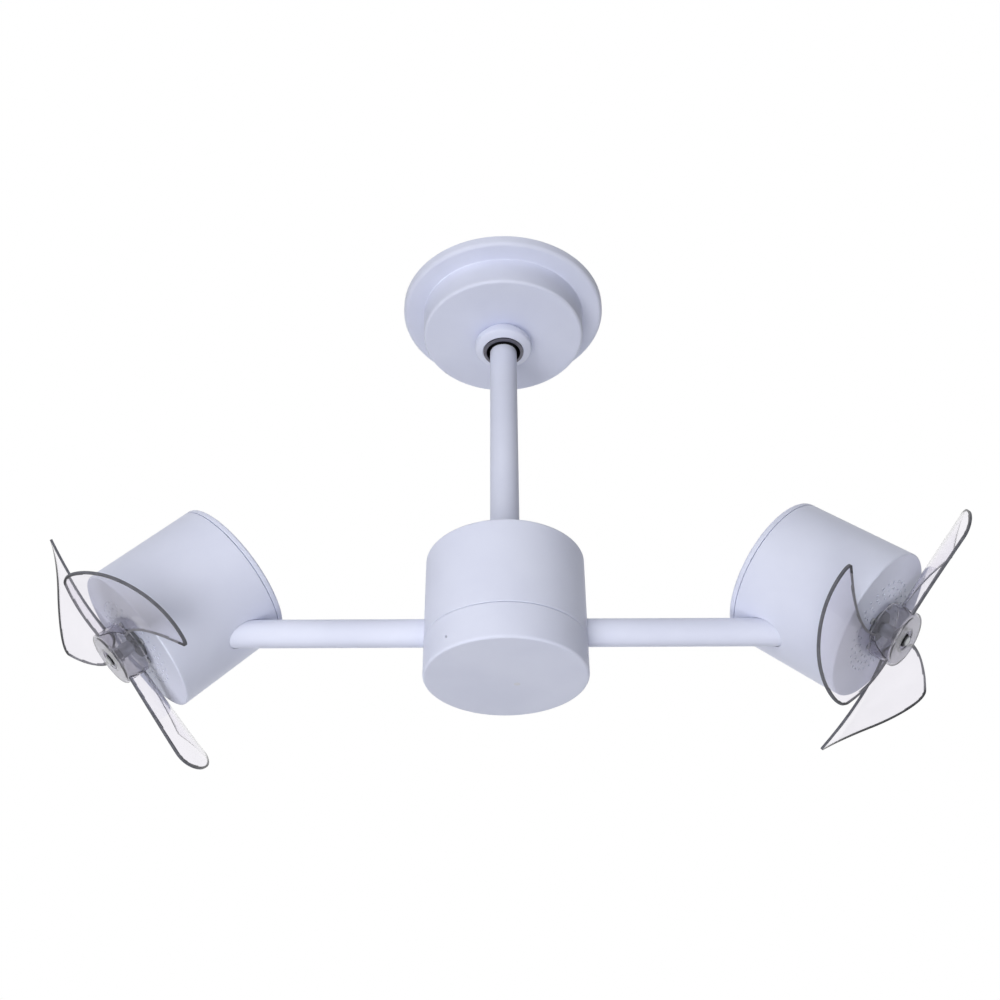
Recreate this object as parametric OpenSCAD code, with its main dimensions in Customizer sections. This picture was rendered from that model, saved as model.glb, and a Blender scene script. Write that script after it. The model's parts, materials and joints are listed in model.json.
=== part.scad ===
// Twin head ceiling fan. Millimetres, +Z up.
// The origin is the centre of the face that meets the ceiling. X runs along the
// two arms, and the object is seen from the -Y side.
// A round canopy holds a down rod in a ball. Under the rod a drum turns on two
// bearings and carries two arms, and on each arm a slanted head tilts about the
// arm and drives a clear propeller.

/* [Placement] */
// Depth of the arm axis below the ceiling
arm_drop = 384; // [340:1:900]
// Distance along the arm from the rod axis to a head's front
head_reach = 315.5; // [290:0.5:420]
// Angle between a head's axis and its arm
head_slant = 46.1; // [43:0.1:50]
// How far a head's axis passes beside the arm axis
head_offset = 7.8; // [0:0.1:12]
// Rest tilt of the left head about its arm, towards the viewer
tilt_left = 6.8; // [0:0.1:60]
// Rest tilt of the right head about its arm, towards the viewer
tilt_right = 19.3; // [0:0.1:60]
// Tilt of a head each way from plumb, at its stop
tilt_limit = 80; // [45:1:80]
// Turn of the left propeller on its axis at rest
turn_left = 60; // [0:1:120]
// Turn of the right propeller on its axis at rest
turn_right = 83; // [0:1:120]

/* [Canopy] */
// Diameter of the canopy's flange
flange_d = 204; // [190:1:240]
// Height of the flange
flange_h = 10.5; // [9:0.5:14]
// Radius of the flange's lower edge
flange_edge = 4; // [2:0.5:5]
// Diameter of the canopy's cup where it leaves the flange
cup_d = 163; // [150:1:176]
// How much the cup's radius narrows towards its face
cup_draft = 0.8; // [0:0.1:3]
// Depth of the canopy from the ceiling to its face
canopy_h = 40.2; // [37:0.1:46]
// Edge radius of the cup's face
cup_edge = 3; // [2:0.5:5]
// Sheet thickness of the canopy
canopy_wall = 1.6; // [1:0.1:2]
// Outer diameter of the canopy's lock ring
lock_ring_d = 54; // [50:0.5:62]
// Height of the lock ring under the canopy's face
lock_ring_h = 3.2; // [2.5:0.1:5]
// Outer diameter of the threaded nipple
nipple_d = 40; // [38:0.5:44]
// Bore of the threaded nipple, which the rod swings in
nipple_bore = 33.7; // [33:0.1:35]

/* [Ceiling bracket] */
// Distance between the ceiling screws
screw_spacing = 88.9; // [82:0.1:100]
// Diameter of the ceiling screw holes
screw_hole_d = 5.5; // [4.5:0.5:6.5]
// Sheet thickness of the bracket
bracket_t = 2.5; // [2:0.1:3]
// Length of the bracket's plate
bracket_l = 118; // [116:1:140]
// Diameter of the hole for the house wires
wire_hole_d = 44; // [36:1:48]
// Diameter of the hanger ball
ball_d = 52; // [50:0.5:53]
// Gap between the ball's foot and the nipple's flange
foot_gap = 2.6; // [2.2:0.1:3.2]
// Height of the ball above its centre
ball_top = 12; // [10:0.5:13]
// Height of the ball below its centre
ball_foot = 12; // [11:0.5:13]
// Gap between the ball and its seat
ball_gap = 0.3; // [0.2:0.05:0.5]

/* [Down rod] */
// Diameter of the down rod
rod_d = 26.7; // [26:0.1:27]
// Wall of the down rod
rod_wall = 2.9; // [2:0.1:3.2]
// Height of the rod's top above the ball's centre
rod_top = 15; // [13:0.5:16]
// Diameter of the cross pins
pin_d = 6; // [5:0.5:7]
// Gap round a part that is pushed into another
slip_gap = 0.05; // [0.02:0.01:0.08]

/* [Drum] */
// Diameter of the drum
drum_d = 140; // [138:1:160]
// Height of the drum above the arm axis
drum_up = 71.2; // [71:0.1:90]
// Height of the drum below the arm axis
drum_down = 43.9; // [43:0.1:60]
// Sheet thickness of the drum
drum_wall = 2; // [1.5:0.1:2.2]
// Edge radius of the drum
drum_edge = 2.5; // [2.2:0.1:4]
// Open seam between the two halves of the drum
seam = 0.7; // [0.4:0.1:1]
// Height of the lip that locates the drum's cap
lip_h = 5; // [4:0.5:8]
// Thickness of the lip
lip_t = 1.5; // [1:0.1:2]
// Gap round the rod where it enters the drum
rod_gap = 0.9; // [0.6:0.1:1.5]
// Angle of the first side screw of the cap
cap_screw_angle = 226; // [215:1:235]
// Height of the side screws below the arm axis
cap_screw_drop = 32; // [28:1:34]

// Diameter of the receiver's lens in the cap's face
lens_d = 5.6; // [4:0.1:8]
// Distance of the lens from the rod axis along the arms
lens_x = 9.3; // [-20:0.1:20]
// Distance of the lens behind the rod axis
lens_y = 9.5; // [-20:0.1:20]

/* [Hub and bearings] */
// How far the rod reaches into the drum
rod_in = 12; // [11:0.5:16]
// Bore of the hub's bearings
bearing_bore = 25; // [24:0.5:26]
// Outer diameter of the hub's bearings
bearing_od = 47; // [46:0.5:48]
// Width of a hub bearing
bearing_w = 12; // [11:0.5:13]
// Gap between the two hub bearings
bearing_gap = 12; // [8:1:14]
// Diameter of a bearing ball
bearing_ball_d = 6.4; // [6:0.1:7]
// Balls in a bearing
bearing_balls = 10; // [8:1:12]
// Diameter of the hub's barrel
barrel_d = 59; // [57:1:64]
// Gap between an arm socket's end and the cap's lip
socket_gap = 2; // [1:0.5:4]
// Wall of an arm socket
socket_wall = 5; // [4:0.5:6]

/* [Arms] */
// Diameter of an arm tube
arm_d = 24.4; // [24:0.1:25]
// Wall of an arm tube
arm_wall = 1.7; // [1.5:0.1:2]
// Distance from the rod axis to an arm's inner end
arm_start = 33; // [33:0.5:40]
// Gap round an arm where it enters a shell
arm_gap = 0.4; // [0.3:0.05:0.8]
// Diameter of the journal that a head turns on
journal_d = 22; // [21.5:0.1:22.4]
// Length of the journal
journal_l = 13.5; // [12:0.5:14]
// Bore for the motor's leads
lead_bore = 10; // [8:0.5:12]
// Wall of the swivel's bush
bush_wall = 2; // [1.5:0.1:2.5]
// Running gap between the journal and its bush
swivel_gap = 0.05; // [0.02:0.01:0.1]
// Diameter of the stop screw's point
stop_d = 4; // [3.5:0.1:4.5]
// Gap of the stop screw in its groove
stop_gap = 0.3; // [0.2:0.05:0.4]

/* [Head] */
// Diameter of a head
head_d = 136; // [132:1:150]
// Length of a head
head_l = 105.5; // [100:0.5:125]
// How far a head's front face lies beyond the arm axis
head_nose = 2.2; // [1:0.1:6]
// Wall of a head's shell
head_wall = 2; // [1.5:0.1:2.4]
// Edge radius of a head's front and rear
head_edge = 2.5; // [1.5:0.1:2.8]
// Thickness of the front plate
plate_t = 3; // [3:0.1:4]
// Thickness of the rear cap at its edge
rear_cap_t = 6; // [5:0.5:8]
// Depth of the spigots inside the shell
spigot_h = 4; // [3:0.5:6]
// Diameter of a vent hole
vent_d = 2.8; // [2:0.1:3.4]
// Radius of the first ring of vent holes
vent_start = 29; // [28:0.5:31]
// Distance between rings of vent holes
vent_step = 6.5; // [5.5:0.1:7]
// Rings of vent holes
vent_rings = 3; // [1:1:4]
// Wall of the boss that holds the swivel's bush
boss_wall = 4; // [3:0.5:4.5]
// Rear cap screws of a head
rear_screws = 3; // [2:1:4]

/* [Motor] */
// Diameter of the motor's can
can_d = 70; // [66:1:71]
// Length of the motor's can
can_l = 44; // [40:1:46]
// Wall of the motor's can
can_wall = 1.8; // [1.5:0.1:2.5]
// Diameter of the motor's front boss
motor_boss_d = 28; // [26:0.5:29]
// Height of the front boss in front of the plate
motor_boss_h = 3.3; // [2.5:0.1:4]
// Diameter of the motor shaft
shaft_d = 8; // [7:0.5:9]
// Running gap between the shaft and its bearings
shaft_gap = 0.05; // [0.02:0.01:0.1]
// Width of a motor bearing
motor_bearing_w = 7; // [6:0.5:8]
// Outer diameter of a motor bearing
motor_bearing_d = 22; // [20:0.5:23]
// Diameter of the rotor
rotor_d = 40; // [36:1:42]
// Air gap between rotor and stator
air_gap = 0.5; // [0.4:0.1:0.8]
// Bolt circle of the motor screws
motor_screw_pcd = 38; // [36.5:0.5:38]

/* [Propeller] */
// Diameter of the propeller
prop_d = 249; // [220:1:270]
// Blades of a propeller
blades = 3; // [2:1:4]
// Thickness of a blade
blade_t = 2.2; // [1.8:0.1:3]
// Diameter of the propeller's hub
prop_hub_d = 50; // [47:0.5:52]
// Wall of the propeller's hub
prop_hub_wall = 2.2; // [1.8:0.1:3]
// Gap between the front plate and the hub
prop_hub_gap = 5.3; // [4.5:0.1:7]
// Length of the propeller's hub
prop_hub_h = 22; // [21:0.5:26]
// Diameter of the recess round the propeller's nut
nut_recess_d = 18; // [16:0.5:20]
// Width across the flats of the propeller's nut
prop_nut_af = 10; // [9:0.5:11]
// Height of the propeller's nut
prop_nut_h = 4; // [3:0.5:5]
// Diameter of the collar behind the propeller
collar_d = 12; // [11:0.5:14]
// Axial rise from leading to trailing edge at the root
rise_root = 14.5; // [10:0.5:16]
// Axial rise from leading to trailing edge at the tip
rise_tip = 37; // [25:1:40]
// Hollow of a blade at the tip
camber_tip = 13.4; // [6:0.2:14]
// Hollow of a blade at the root
camber_root = 2; // [0:0.5:4]
// Angle that a blade covers at its root
root_sweep = 42; // [36:1:48]
// Angle by which the trailing edge runs ahead at the tip
trail_sweep = 25.7; // [15:0.5:30]
// Angle that a blade covers at its tip
tip_sweep = 54.3; // [44:0.5:60]
// Rounding of the trailing corner, in from the tip circle
tail_round = 26; // [15:1:34]
// Rounding of the leading corner, in from the tip circle
nose_round = 4; // [2:0.5:6]

/* [Hidden] */
$fn = 96;
eps = 0.01;
SIDES = [-1, 1];

WHITE = "#e4e5ee";
STEEL = "#a9adb3";
ZINC = "#8b8f96";
BRASS = "#c3a45c";
NYLON = "#f2efe6";
BOARD = "#2f6b46";
COPPER = "#a5622f";
DARK = "#26272a";
CLEAR = "#c9d2dc";

// Gap between a spigot and the wall that it locates
spigot_gap = 0.15;

// Levels of the hanging parts
rod_r = rod_d / 2;
rod_bore_r = rod_r - rod_wall;
arm_r = arm_d / 2;
arm_z = -arm_drop;
drum_r = drum_d / 2;
drum_top = arm_z + drum_up;
drum_bottom = arm_z - drum_down;
hub_top = drum_top - drum_wall;
rod_end = drum_top - rod_in;
canopy_floor = -(canopy_h - canopy_wall) + bracket_t;
ball_z = canopy_floor + foot_gap + ball_foot;
ball_r = ball_d / 2;

// Spindle and bearings under the rod
spindle_flange_h = 4;
spindle_flange_r = bearing_bore / 2 + 4.5;
bearing_top = rod_end - spindle_flange_h;
bearing_end = bearing_top - 2 * bearing_w - bearing_gap;
spindle_nut_h = 8;
thread_r = bearing_bore / 2 - 2.5;
spindle_end = bearing_end - spindle_nut_h - 5;
plug_l = 30;
ball_circle_r = (bearing_bore + bearing_od) / 4;
race_wall = 3.4;

// Hub
barrel_r = barrel_d / 2;
hub_end = arm_z - arm_r - socket_wall - 1.5;
hub_neck_r = bearing_od / 2 - 4;
socket_r = arm_r + socket_wall;
lip_r = drum_r - drum_wall - spigot_gap;
socket_reach = sqrt(pow(lip_r - lip_t - socket_gap, 2) - pow(socket_r, 2));
shell_screw_r = (hub_neck_r + barrel_r) / 2;
spider_screw_r = (bearing_od / 2 + barrel_r) / 2;
spider_t = 2;
spider_w = 14;
web_w = 9;
spider_tab_gap = 0.15;
board_r = drum_r * 0.63;
board_t = drum_wall * 0.8;
standoff_r = board_r * 0.82;
standoff_h = lip_h;
slip_core_r = 8;
slip_housing_h = 11;

// Head, in its own frame: the axis is z, z = 0 lies beside the arm axis and the
// front looks along +z; the arm comes in from -x.
head_r = head_d / 2;
head_rear = head_nose - head_l;
shell_front = head_nose - plate_t;
shell_rear = head_rear + rear_cap_t;
inner_r = head_r - head_wall;
entry_t = -sqrt(pow(head_r, 2) - pow(head_offset, 2)) / sin(head_slant);
entry_half = arm_r / tan(head_slant);
arm_tube_end = entry_t + entry_half + 2.5;
journal_end = arm_tube_end + journal_l;
bush_r = journal_d / 2 + bush_wall;
boss_r = bush_r + boss_wall;
bush_l = journal_l - 0.8;
groove_r = journal_d / 2 - 2;
groove_t = arm_tube_end + journal_l / 2;
groove_half = tilt_limit + asin((stop_d / 2 + stop_gap) / groove_r) + 1;

// Motor and propeller, along a head's axis
can_front = shell_front;
can_rear = can_front - can_l;
motor_nose = head_nose + motor_boss_h;
hub_back = head_nose + prop_hub_gap;
hub_front = hub_back + prop_hub_h;
prop_r = prop_d / 2;
prop_hub_r = prop_hub_d / 2;
recess_floor = hub_front - prop_nut_h;
web_t = 2;
collar_end = recess_floor - 6;
collar_start = motor_nose + 2.5;
shaft_front = hub_front + shaft_d * 0.1875;
shaft_rear = can_rear - shaft_d * 0.375;
screw_head_h = 2.2;
rear_screw_r = inner_r - 6.5;

// ---- shapes that repeat ----

// Half of a turned block: radius r, height h, outer top corner rounded by e
module round_block(r, h, e) {
    intersection() {
        union() {
            square([r - e, h]);
            square([r, h - e]);
            translate([r - e, h - e]) circle(r = e, $fn = 48);
        }
        square([r + 1, h + 1]);
    }
}

// Half of a cup that is closed at the top and open at z = 0
module cup_half(r, h, wall, edge) {
    difference() {
        round_block(r, h, edge);
        translate([-eps, -eps]) round_block(r - wall + eps, h - wall + eps, max(edge - wall, 0.2));
    }
}

module ring(r_out, r_in, z0, z1) {
    rotate_extrude() translate([r_in, z0]) square([r_out - r_in, z1 - z0]);
}

// Screw along -z with its pan head on z = 0 and a cross recess
module pan_screw(d, l) {
    difference() {
        union() {
            translate([0, 0, -l]) cylinder(d = d, h = l + eps);
            rotate_extrude() round_block(d * 0.92, screw_head_h, 0.9);
        }
        for (a = [0, 90]) rotate(a) translate([-d * 0.5, -0.45, screw_head_h - 1.1])
            cube([d, 0.9, 1.2]);
    }
}

// Headless screw from z = 0 to z = -l with a hexagon socket
module grub_screw(d, l) {
    difference() {
        translate([0, 0, -l]) cylinder(d = d, h = l);
        translate([0, 0, -l * 0.45]) cylinder(d = d * 0.55, h = l, $fn = 6);
    }
}

// Places a head's own frame: side is -1 for the left head, 1 for the right
module head_frame(side) {
    tilt = side < 0 ? tilt_left : tilt_right;
    translate([side * head_reach, 0, arm_z])
        rotate([-tilt, 0, 0])
        rotate([0, 0, side < 0 ? 0 : 180])
        rotate([0, -(90 + head_slant), 0])
        translate([0, head_offset, 0])
        children();
}

// Within a head's frame: z along the arm away from the drum, x up when plumb
module on_arm_axis() {
    translate([0, -head_offset, 0]) rotate([0, head_slant, 0]) children();
}

// The same axis fixed to the arm, which doesn't tilt
module arm_frame(side) {
    translate([side * head_reach, 0, arm_z])
        rotate([0, 0, side < 0 ? 0 : 180])
        rotate([0, -90, 0])
        children();
}

// ---- ceiling side ----

module ceiling_bracket() {
    leg_y = ball_r + ball_gap + 4;
    leg_w = 36;
    ring_r = leg_y + bracket_t;
    ring_end = canopy_floor;
    plate_w = 2 * ring_r;
    color(ZINC) difference() {
        union() {
            translate([-bracket_l / 2, -plate_w / 2, -bracket_t])
                cube([bracket_l, plate_w, bracket_t]);
            for (s = SIDES) translate([-leg_w / 2, s > 0 ? leg_y : -ring_r, ring_end])
                cube([leg_w, bracket_t, -ring_end - eps]);
            translate([0, 0, ring_end]) cylinder(r = ring_r, h = 8);
        }
        translate([0, 0, -bracket_t - 1]) cylinder(d = wire_hole_d, h = bracket_t + 2);
        translate([0, 0, ball_z]) sphere(r = ball_r + ball_gap);
        translate([0, 0, ring_end - 1]) cylinder(d = nipple_bore + 1, h = 12);
        // the side slot that the rod is hooked in through
        translate([-nipple_bore / 2, -ring_r - 1, ring_end - 1])
            cube([nipple_bore, ring_r + 1, 10]);
        for (s = SIDES) translate([s * screw_spacing / 2, 0, -bracket_t - 1])
            cylinder(d = screw_hole_d, h = bracket_t + 2);
    }
}

module canopy() {
    fr = flange_d / 2;
    cr = cup_d / 2;
    face_r = cr - cup_draft;
    color(WHITE) rotate_extrude() difference() {
        union() {
            mirror([0, 1]) round_block(fr, flange_h, flange_edge);
            polygon([[0, 0], [cr, 0], [cr, -flange_h], [face_r, -canopy_h + cup_edge],
                [0, -canopy_h + cup_edge]]);
            translate([0, -canopy_h]) square([face_r - cup_edge, canopy_h]);
            translate([face_r - cup_edge, -canopy_h + cup_edge]) circle(r = cup_edge, $fn = 48);
        }
        // inside of the pressed sheet
        translate([-eps, eps]) mirror([0, 1])
            round_block(fr - canopy_wall, flange_h - canopy_wall, flange_edge - canopy_wall);
        polygon([[-eps, 0], [cr - canopy_wall, 0], [cr - canopy_wall, -flange_h],
            [face_r - canopy_wall, -canopy_h + canopy_wall], [-eps, -canopy_h + canopy_wall]]);
        translate([-eps, -canopy_h - 1]) square([nipple_d / 2 + slip_gap * 4, canopy_h]);
    }
}

module canopy_nipple() {
    top = canopy_floor;
    color(STEEL) difference() {
        union() {
            translate([0, 0, -canopy_h - lock_ring_h - 0.4])
                cylinder(d = nipple_d, h = canopy_h + lock_ring_h + 0.4 + top);
            translate([0, 0, top - bracket_t]) cylinder(d = nipple_d * 1.25, h = bracket_t);
        }
        translate([0, 0, -canopy_h - lock_ring_h - 1]) cylinder(d = nipple_bore, h = canopy_h);
    }
}

module canopy_lock_ring() {
    r_in = nipple_d / 2 + slip_gap;
    color(WHITE) rotate_extrude() translate([0, -canopy_h]) mirror([0, 1])
        difference() {
            round_block(lock_ring_d / 2, lock_ring_h, 1.6);
            translate([-eps, -1]) square([r_in, lock_ring_h + 2]);
        }
}

module terminal_block() {
    l = 36;
    w = 12;
    h = 14;
    y0 = ball_r + ball_gap + 4 + bracket_t;
    color(NYLON) translate([-l / 2, y0, -bracket_t - 6 - h]) difference() {
        cube([l, w, h]);
        for (i = [0:3]) translate([l / 8 + i * l / 4, -1, h / 3])
            rotate([-90, 0, 0]) cylinder(d = 3.4, h = w + 2);
        for (i = [0:3]) translate([l / 8 + i * l / 4, w / 2, h / 2])
            cylinder(d = 3, h = h);
    }
}

// ---- hanging rod ----

module hanger_ball() {
    color(DARK) translate([0, 0, ball_z]) difference() {
        intersection() {
            sphere(r = ball_r);
            translate([0, 0, -ball_foot]) cylinder(r = ball_r + 1, h = ball_foot + ball_top);
        }
        translate([0, 0, -ball_r]) cylinder(r = rod_r + slip_gap, h = 2 * ball_r);
        rotate([90, 0, 0]) cylinder(d = pin_d + 2 * slip_gap, h = ball_d + 2, center = true);
    }
}

module hanger_pin() {
    l = 2 * sqrt(pow(ball_r, 2) - pow(pin_d, 2)) - 2;
    color(STEEL) translate([0, 0, ball_z]) rotate([90, 0, 0])
        cylinder(d = pin_d, h = l, center = true);
}

module down_rod() {
    color(WHITE) difference() {
        translate([0, 0, rod_end]) cylinder(r = rod_r, h = ball_z + rod_top - rod_end);
        translate([0, 0, rod_end - 1]) cylinder(r = rod_bore_r, h = ball_z + rod_top - rod_end + 2);
        translate([0, 0, ball_z]) rotate([90, 0, 0])
            cylinder(d = pin_d + 2 * slip_gap, h = rod_d + 2, center = true);
        translate([0, 0, rod_end + rod_in / 2]) rotate([90, 0, 0])
            cylinder(d = pin_d + 2 * slip_gap, h = rod_d + 2, center = true);
    }
}

module swivel_spindle() {
    color(STEEL) difference() {
        union() {
            translate([0, 0, rod_end]) cylinder(r = rod_bore_r - slip_gap, h = plug_l);
            translate([0, 0, bearing_top])
                cylinder(r = spindle_flange_r, h = spindle_flange_h);
            translate([0, 0, bearing_end]) cylinder(d = bearing_bore, h = bearing_top - bearing_end);
            translate([0, 0, spindle_end]) cylinder(r = thread_r, h = bearing_end - spindle_end);
        }
        translate([0, 0, spindle_end - 1]) cylinder(d = lead_bore, h = plug_l - spindle_end + rod_end + 2);
        translate([0, 0, rod_end + rod_in / 2]) rotate([90, 0, 0])
            cylinder(d = pin_d + 2 * slip_gap, h = rod_d, center = true);
    }
}

module spindle_pin() {
    color(STEEL) translate([0, 0, rod_end + rod_in / 2]) rotate([90, 0, 0])
        cylinder(d = pin_d, h = rod_d - 1, center = true);
}

module spindle_nut() {
    color(ZINC) translate([0, 0, bearing_end - spindle_nut_h]) difference() {
        cylinder(r = bearing_bore / 2 + 3, h = spindle_nut_h, $fn = 6);
        translate([0, 0, -1]) cylinder(r = thread_r + slip_gap, h = spindle_nut_h + 2);
    }
}

module bearing_grooves() {
    for (i = [0, 1]) translate([0, 0, bearing_top - bearing_w / 2 - i * (bearing_w + bearing_gap)])
        rotate_extrude() translate([ball_circle_r, 0]) circle(r = bearing_ball_d / 2 + 0.1, $fn = 48);
}

module bearing_inner_races() {
    r_in = bearing_bore / 2 + slip_gap;
    color(STEEL) {
        difference() {
            for (i = [0, 1]) ring(r_in + race_wall, r_in,
                bearing_top - bearing_w - i * (bearing_w + bearing_gap),
                bearing_top - i * (bearing_w + bearing_gap));
            bearing_grooves();
        }
        // spacer tube between the two inner races
        ring(r_in + 2, r_in, bearing_top - bearing_w - bearing_gap, bearing_top - bearing_w);
    }
}

module slip_ring_core() {
    color(DARK) difference() {
        translate([0, 0, hub_end - 2]) cylinder(r = slip_core_r, h = spindle_end - hub_end + 2);
        translate([0, 0, hub_end - 3]) cylinder(r = slip_core_r - 3, h = spindle_end - hub_end + 4);
    }
}

// ---- drum and arms ----

module arm_hub() {
    color(ZINC) difference() {
        union() {
            translate([0, 0, hub_end]) cylinder(r = barrel_r, h = hub_top - hub_end);
            translate([0, 0, arm_z]) rotate([0, 90, 0])
                cylinder(r = socket_r, h = 2 * socket_reach, center = true);
            // webs that tie the sockets to the barrel
            for (s = SIDES) translate([s > 0 ? 0 : -socket_reach, -web_w / 2, arm_z])
                cube([socket_reach, web_w, socket_r + 6]);
        }
        translate([0, 0, bearing_top - eps]) cylinder(r = hub_neck_r, h = hub_top - bearing_top + 1);
        translate([0, 0, hub_end - 1]) cylinder(d = bearing_od + 2 * slip_gap, h = bearing_top - hub_end + 1);
        // circlip groove under the lower bearing
        ring(bearing_od / 2 + 1.6, bearing_od / 2 - 1, bearing_end - 2, bearing_end);
        for (s = SIDES) translate([0, 0, arm_z]) rotate([0, s * 90, 0]) {
            translate([0, 0, arm_start]) cylinder(r = arm_r + slip_gap, h = socket_reach);
            cylinder(d = lead_bore, h = socket_reach);
        }
        for (a = [30, 150, 270]) rotate(a) translate([shell_screw_r, 0, hub_top - 12])
            cylinder(d = 3.9, h = 13);
        for (i = [0:2]) rotate(cap_screw_angle + 120 * i) translate([spider_screw_r, 0, hub_end - 1])
            cylinder(d = 3.4, h = 11);
        for (s = SIDES, dx = [8, 18]) translate([s * (socket_reach - dx), 0, arm_z])
            cylinder(d = 5 + 2 * slip_gap, h = socket_r + 8);
    }
}

module swivel_bearings() {
    r_out = bearing_od / 2;
    color(STEEL) {
        difference() {
            for (i = [0, 1]) ring(r_out, r_out - race_wall,
                bearing_top - bearing_w - i * (bearing_w + bearing_gap),
                bearing_top - i * (bearing_w + bearing_gap));
            bearing_grooves();
        }
        ring(r_out, r_out - 2, bearing_top - bearing_w - bearing_gap, bearing_top - bearing_w);
        for (i = [0, 1], k = [0:bearing_balls - 1]) rotate(k * 360 / bearing_balls)
            translate([ball_circle_r, 0, bearing_top - bearing_w / 2 - i * (bearing_w + bearing_gap)])
                sphere(d = bearing_ball_d, $fn = 32);
    }
}

module hub_circlip() {
    color(STEEL) difference() {
        ring(bearing_od / 2 + 1.5, bearing_od / 2 - 2.5, bearing_end - 1.9, bearing_end - 0.1);
        translate([0, -4, bearing_end - 5]) cube([bearing_od, 8, 10]);
    }
}

// Room round both arms, cut out of the drum's two halves
module arm_room() {
    translate([0, 0, arm_z]) rotate([0, 90, 0])
        cylinder(r = arm_r + arm_gap, h = 2 * drum_d, center = true);
}

module drum_shell() {
    color(WHITE) difference() {
        translate([0, 0, arm_z + seam / 2]) rotate_extrude()
            cup_half(drum_r, drum_up - seam / 2, drum_wall, drum_edge);
        translate([0, 0, hub_top - 1]) cylinder(r = rod_r + rod_gap, h = drum_wall + 2);
        for (a = [30, 150, 270]) rotate(a) translate([shell_screw_r, 0, hub_top - 1])
            cylinder(d = 4.5, h = drum_wall + 2);
        arm_room();
    }
}

module drum_shell_screws() {
    color(WHITE) for (a = [30, 150, 270]) rotate(a) translate([shell_screw_r, 0, drum_top])
        pan_screw(3.8, 12);
}

module drum_cap() {
    color(WHITE) difference() {
        union() {
            translate([0, 0, arm_z - seam / 2]) mirror([0, 0, 1]) rotate_extrude()
                cup_half(drum_r, drum_down - seam / 2, drum_wall, drum_edge);
            // lip that locates the shell, joined to the wall inside the cap
            ring(lip_r, lip_r - lip_t, arm_z - lip_h, arm_z + lip_h);
            ring(drum_r - drum_wall / 2, lip_r - lip_t, arm_z - lip_h, arm_z - seam / 2 - 1);
        }
        arm_room();
        for (i = [0:2]) rotate(cap_screw_angle + 120 * i)
            translate([drum_r - drum_wall - 1, 0, arm_z - cap_screw_drop])
                rotate([0, 90, 0]) cylinder(d = 3.2, h = drum_wall + 2);
        translate([lens_x, lens_y, drum_bottom - 1]) cylinder(d = lens_d, h = drum_wall + 2);
    }
}

module cap_screws() {
    color(WHITE) for (i = [0:2]) rotate(cap_screw_angle + 120 * i)
        translate([drum_r - 0.3, 0, arm_z - cap_screw_drop]) rotate([0, 90, 0]) grub_screw(3, 6);
}

module cap_spider() {
    tab_r = drum_r - drum_wall - spider_tab_gap;
    tab_end = arm_z - cap_screw_drop - 5;
    color(STEEL) difference() {
        union() {
            translate([0, 0, hub_end - spider_t]) cylinder(r = barrel_r + 1, h = spider_t);
            for (i = [0:2]) rotate(cap_screw_angle + 120 * i) {
                translate([0, -spider_w / 2, hub_end - spider_t])
                    cube([tab_r - 3, spider_w, spider_t]);
                intersection() {
                    translate([0, -spider_w / 2, tab_end])
                        cube([drum_r, spider_w, hub_end - tab_end]);
                    ring(tab_r, tab_r - spider_t * 1.5, tab_end, hub_end);
                }
                // stand-off for the receiver board
                translate([standoff_r, 0, hub_end - spider_t - standoff_h])
                    cylinder(r = board_r / 11, h = standoff_h + eps);
            }
        }
        translate([0, 0, hub_end - spider_t - 1]) cylinder(d = bearing_od - 8, h = spider_t + 2);
        for (i = [0:2]) rotate(cap_screw_angle + 120 * i) {
            translate([spider_screw_r, 0, hub_end - spider_t - 1]) cylinder(d = 4, h = spider_t + 2);
            translate([tab_r - 8, 0, arm_z - cap_screw_drop]) rotate([0, 90, 0])
                cylinder(d = 3 + 2 * slip_gap, h = 10);
        }
    }
}

module spider_screws() {
    color(STEEL) for (i = [0:2]) rotate(cap_screw_angle + 120 * i)
        translate([spider_screw_r, 0, hub_end - spider_t]) mirror([0, 0, 1]) pan_screw(3.2, 9);
}

module receiver_board() {
    top = hub_end - spider_t - standoff_h;
    u = board_r / 44;
    color(BOARD) translate([0, 0, top - board_t]) cylinder(r = board_r, h = board_t);
    // components: corner, then size, on a board of radius 44
    color(DARK) for (p = [[-24, -12, 16, 12, 5], [4, 8, 20, 14, 6], [8, -26, 12, 16, 5], [-26, 10, 14, 18, 6]])
        translate([p[0] * u, p[1] * u, top - board_t - p[4] * u])
            cube([p[2] * u, p[3] * u, p[4] * u + eps]);
}

module receiver_lens() {
    color(NYLON) translate([lens_x, lens_y, drum_bottom]) {
        translate([0, 0, slip_gap]) cylinder(r = lens_d / 2 - slip_gap, h = drum_wall + lens_d / 5);
        translate([0, 0, drum_wall]) cylinder(r = lens_d * 0.8, h = lens_d / 5);
    }
}

module slip_ring_housing() {
    color(DARK) ring(bearing_od / 2, slip_core_r + 0.3, hub_end, hub_end + slip_housing_h);
}

module arm_tube(side) {
    l = head_reach - arm_start + arm_tube_end;
    color(WHITE) arm_frame(side) translate([0, 0, arm_tube_end - l]) difference() {
        cylinder(r = arm_r, h = l);
        translate([0, 0, -1]) cylinder(r = arm_r - arm_wall, h = l + 2);
    }
}

module arm_journal(side) {
    spigot_l = 22;
    color(STEEL) arm_frame(side) difference() {
        union() {
            translate([0, 0, arm_tube_end - spigot_l])
                cylinder(r = arm_r - arm_wall - slip_gap, h = spigot_l + eps);
            translate([0, 0, arm_tube_end]) cylinder(d = journal_d, h = journal_l);
        }
        translate([0, 0, arm_tube_end - spigot_l - 1]) cylinder(d = lead_bore, h = spigot_l + journal_l + 2);
        // groove that the stop screw runs in: its ends stop the tilt
        rotate(-groove_half) rotate_extrude(angle = 2 * groove_half)
            translate([groove_r, groove_t - stop_d / 2 - stop_gap])
                square([bush_wall + 4, stop_d + 2 * stop_gap]);
    }
}

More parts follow.
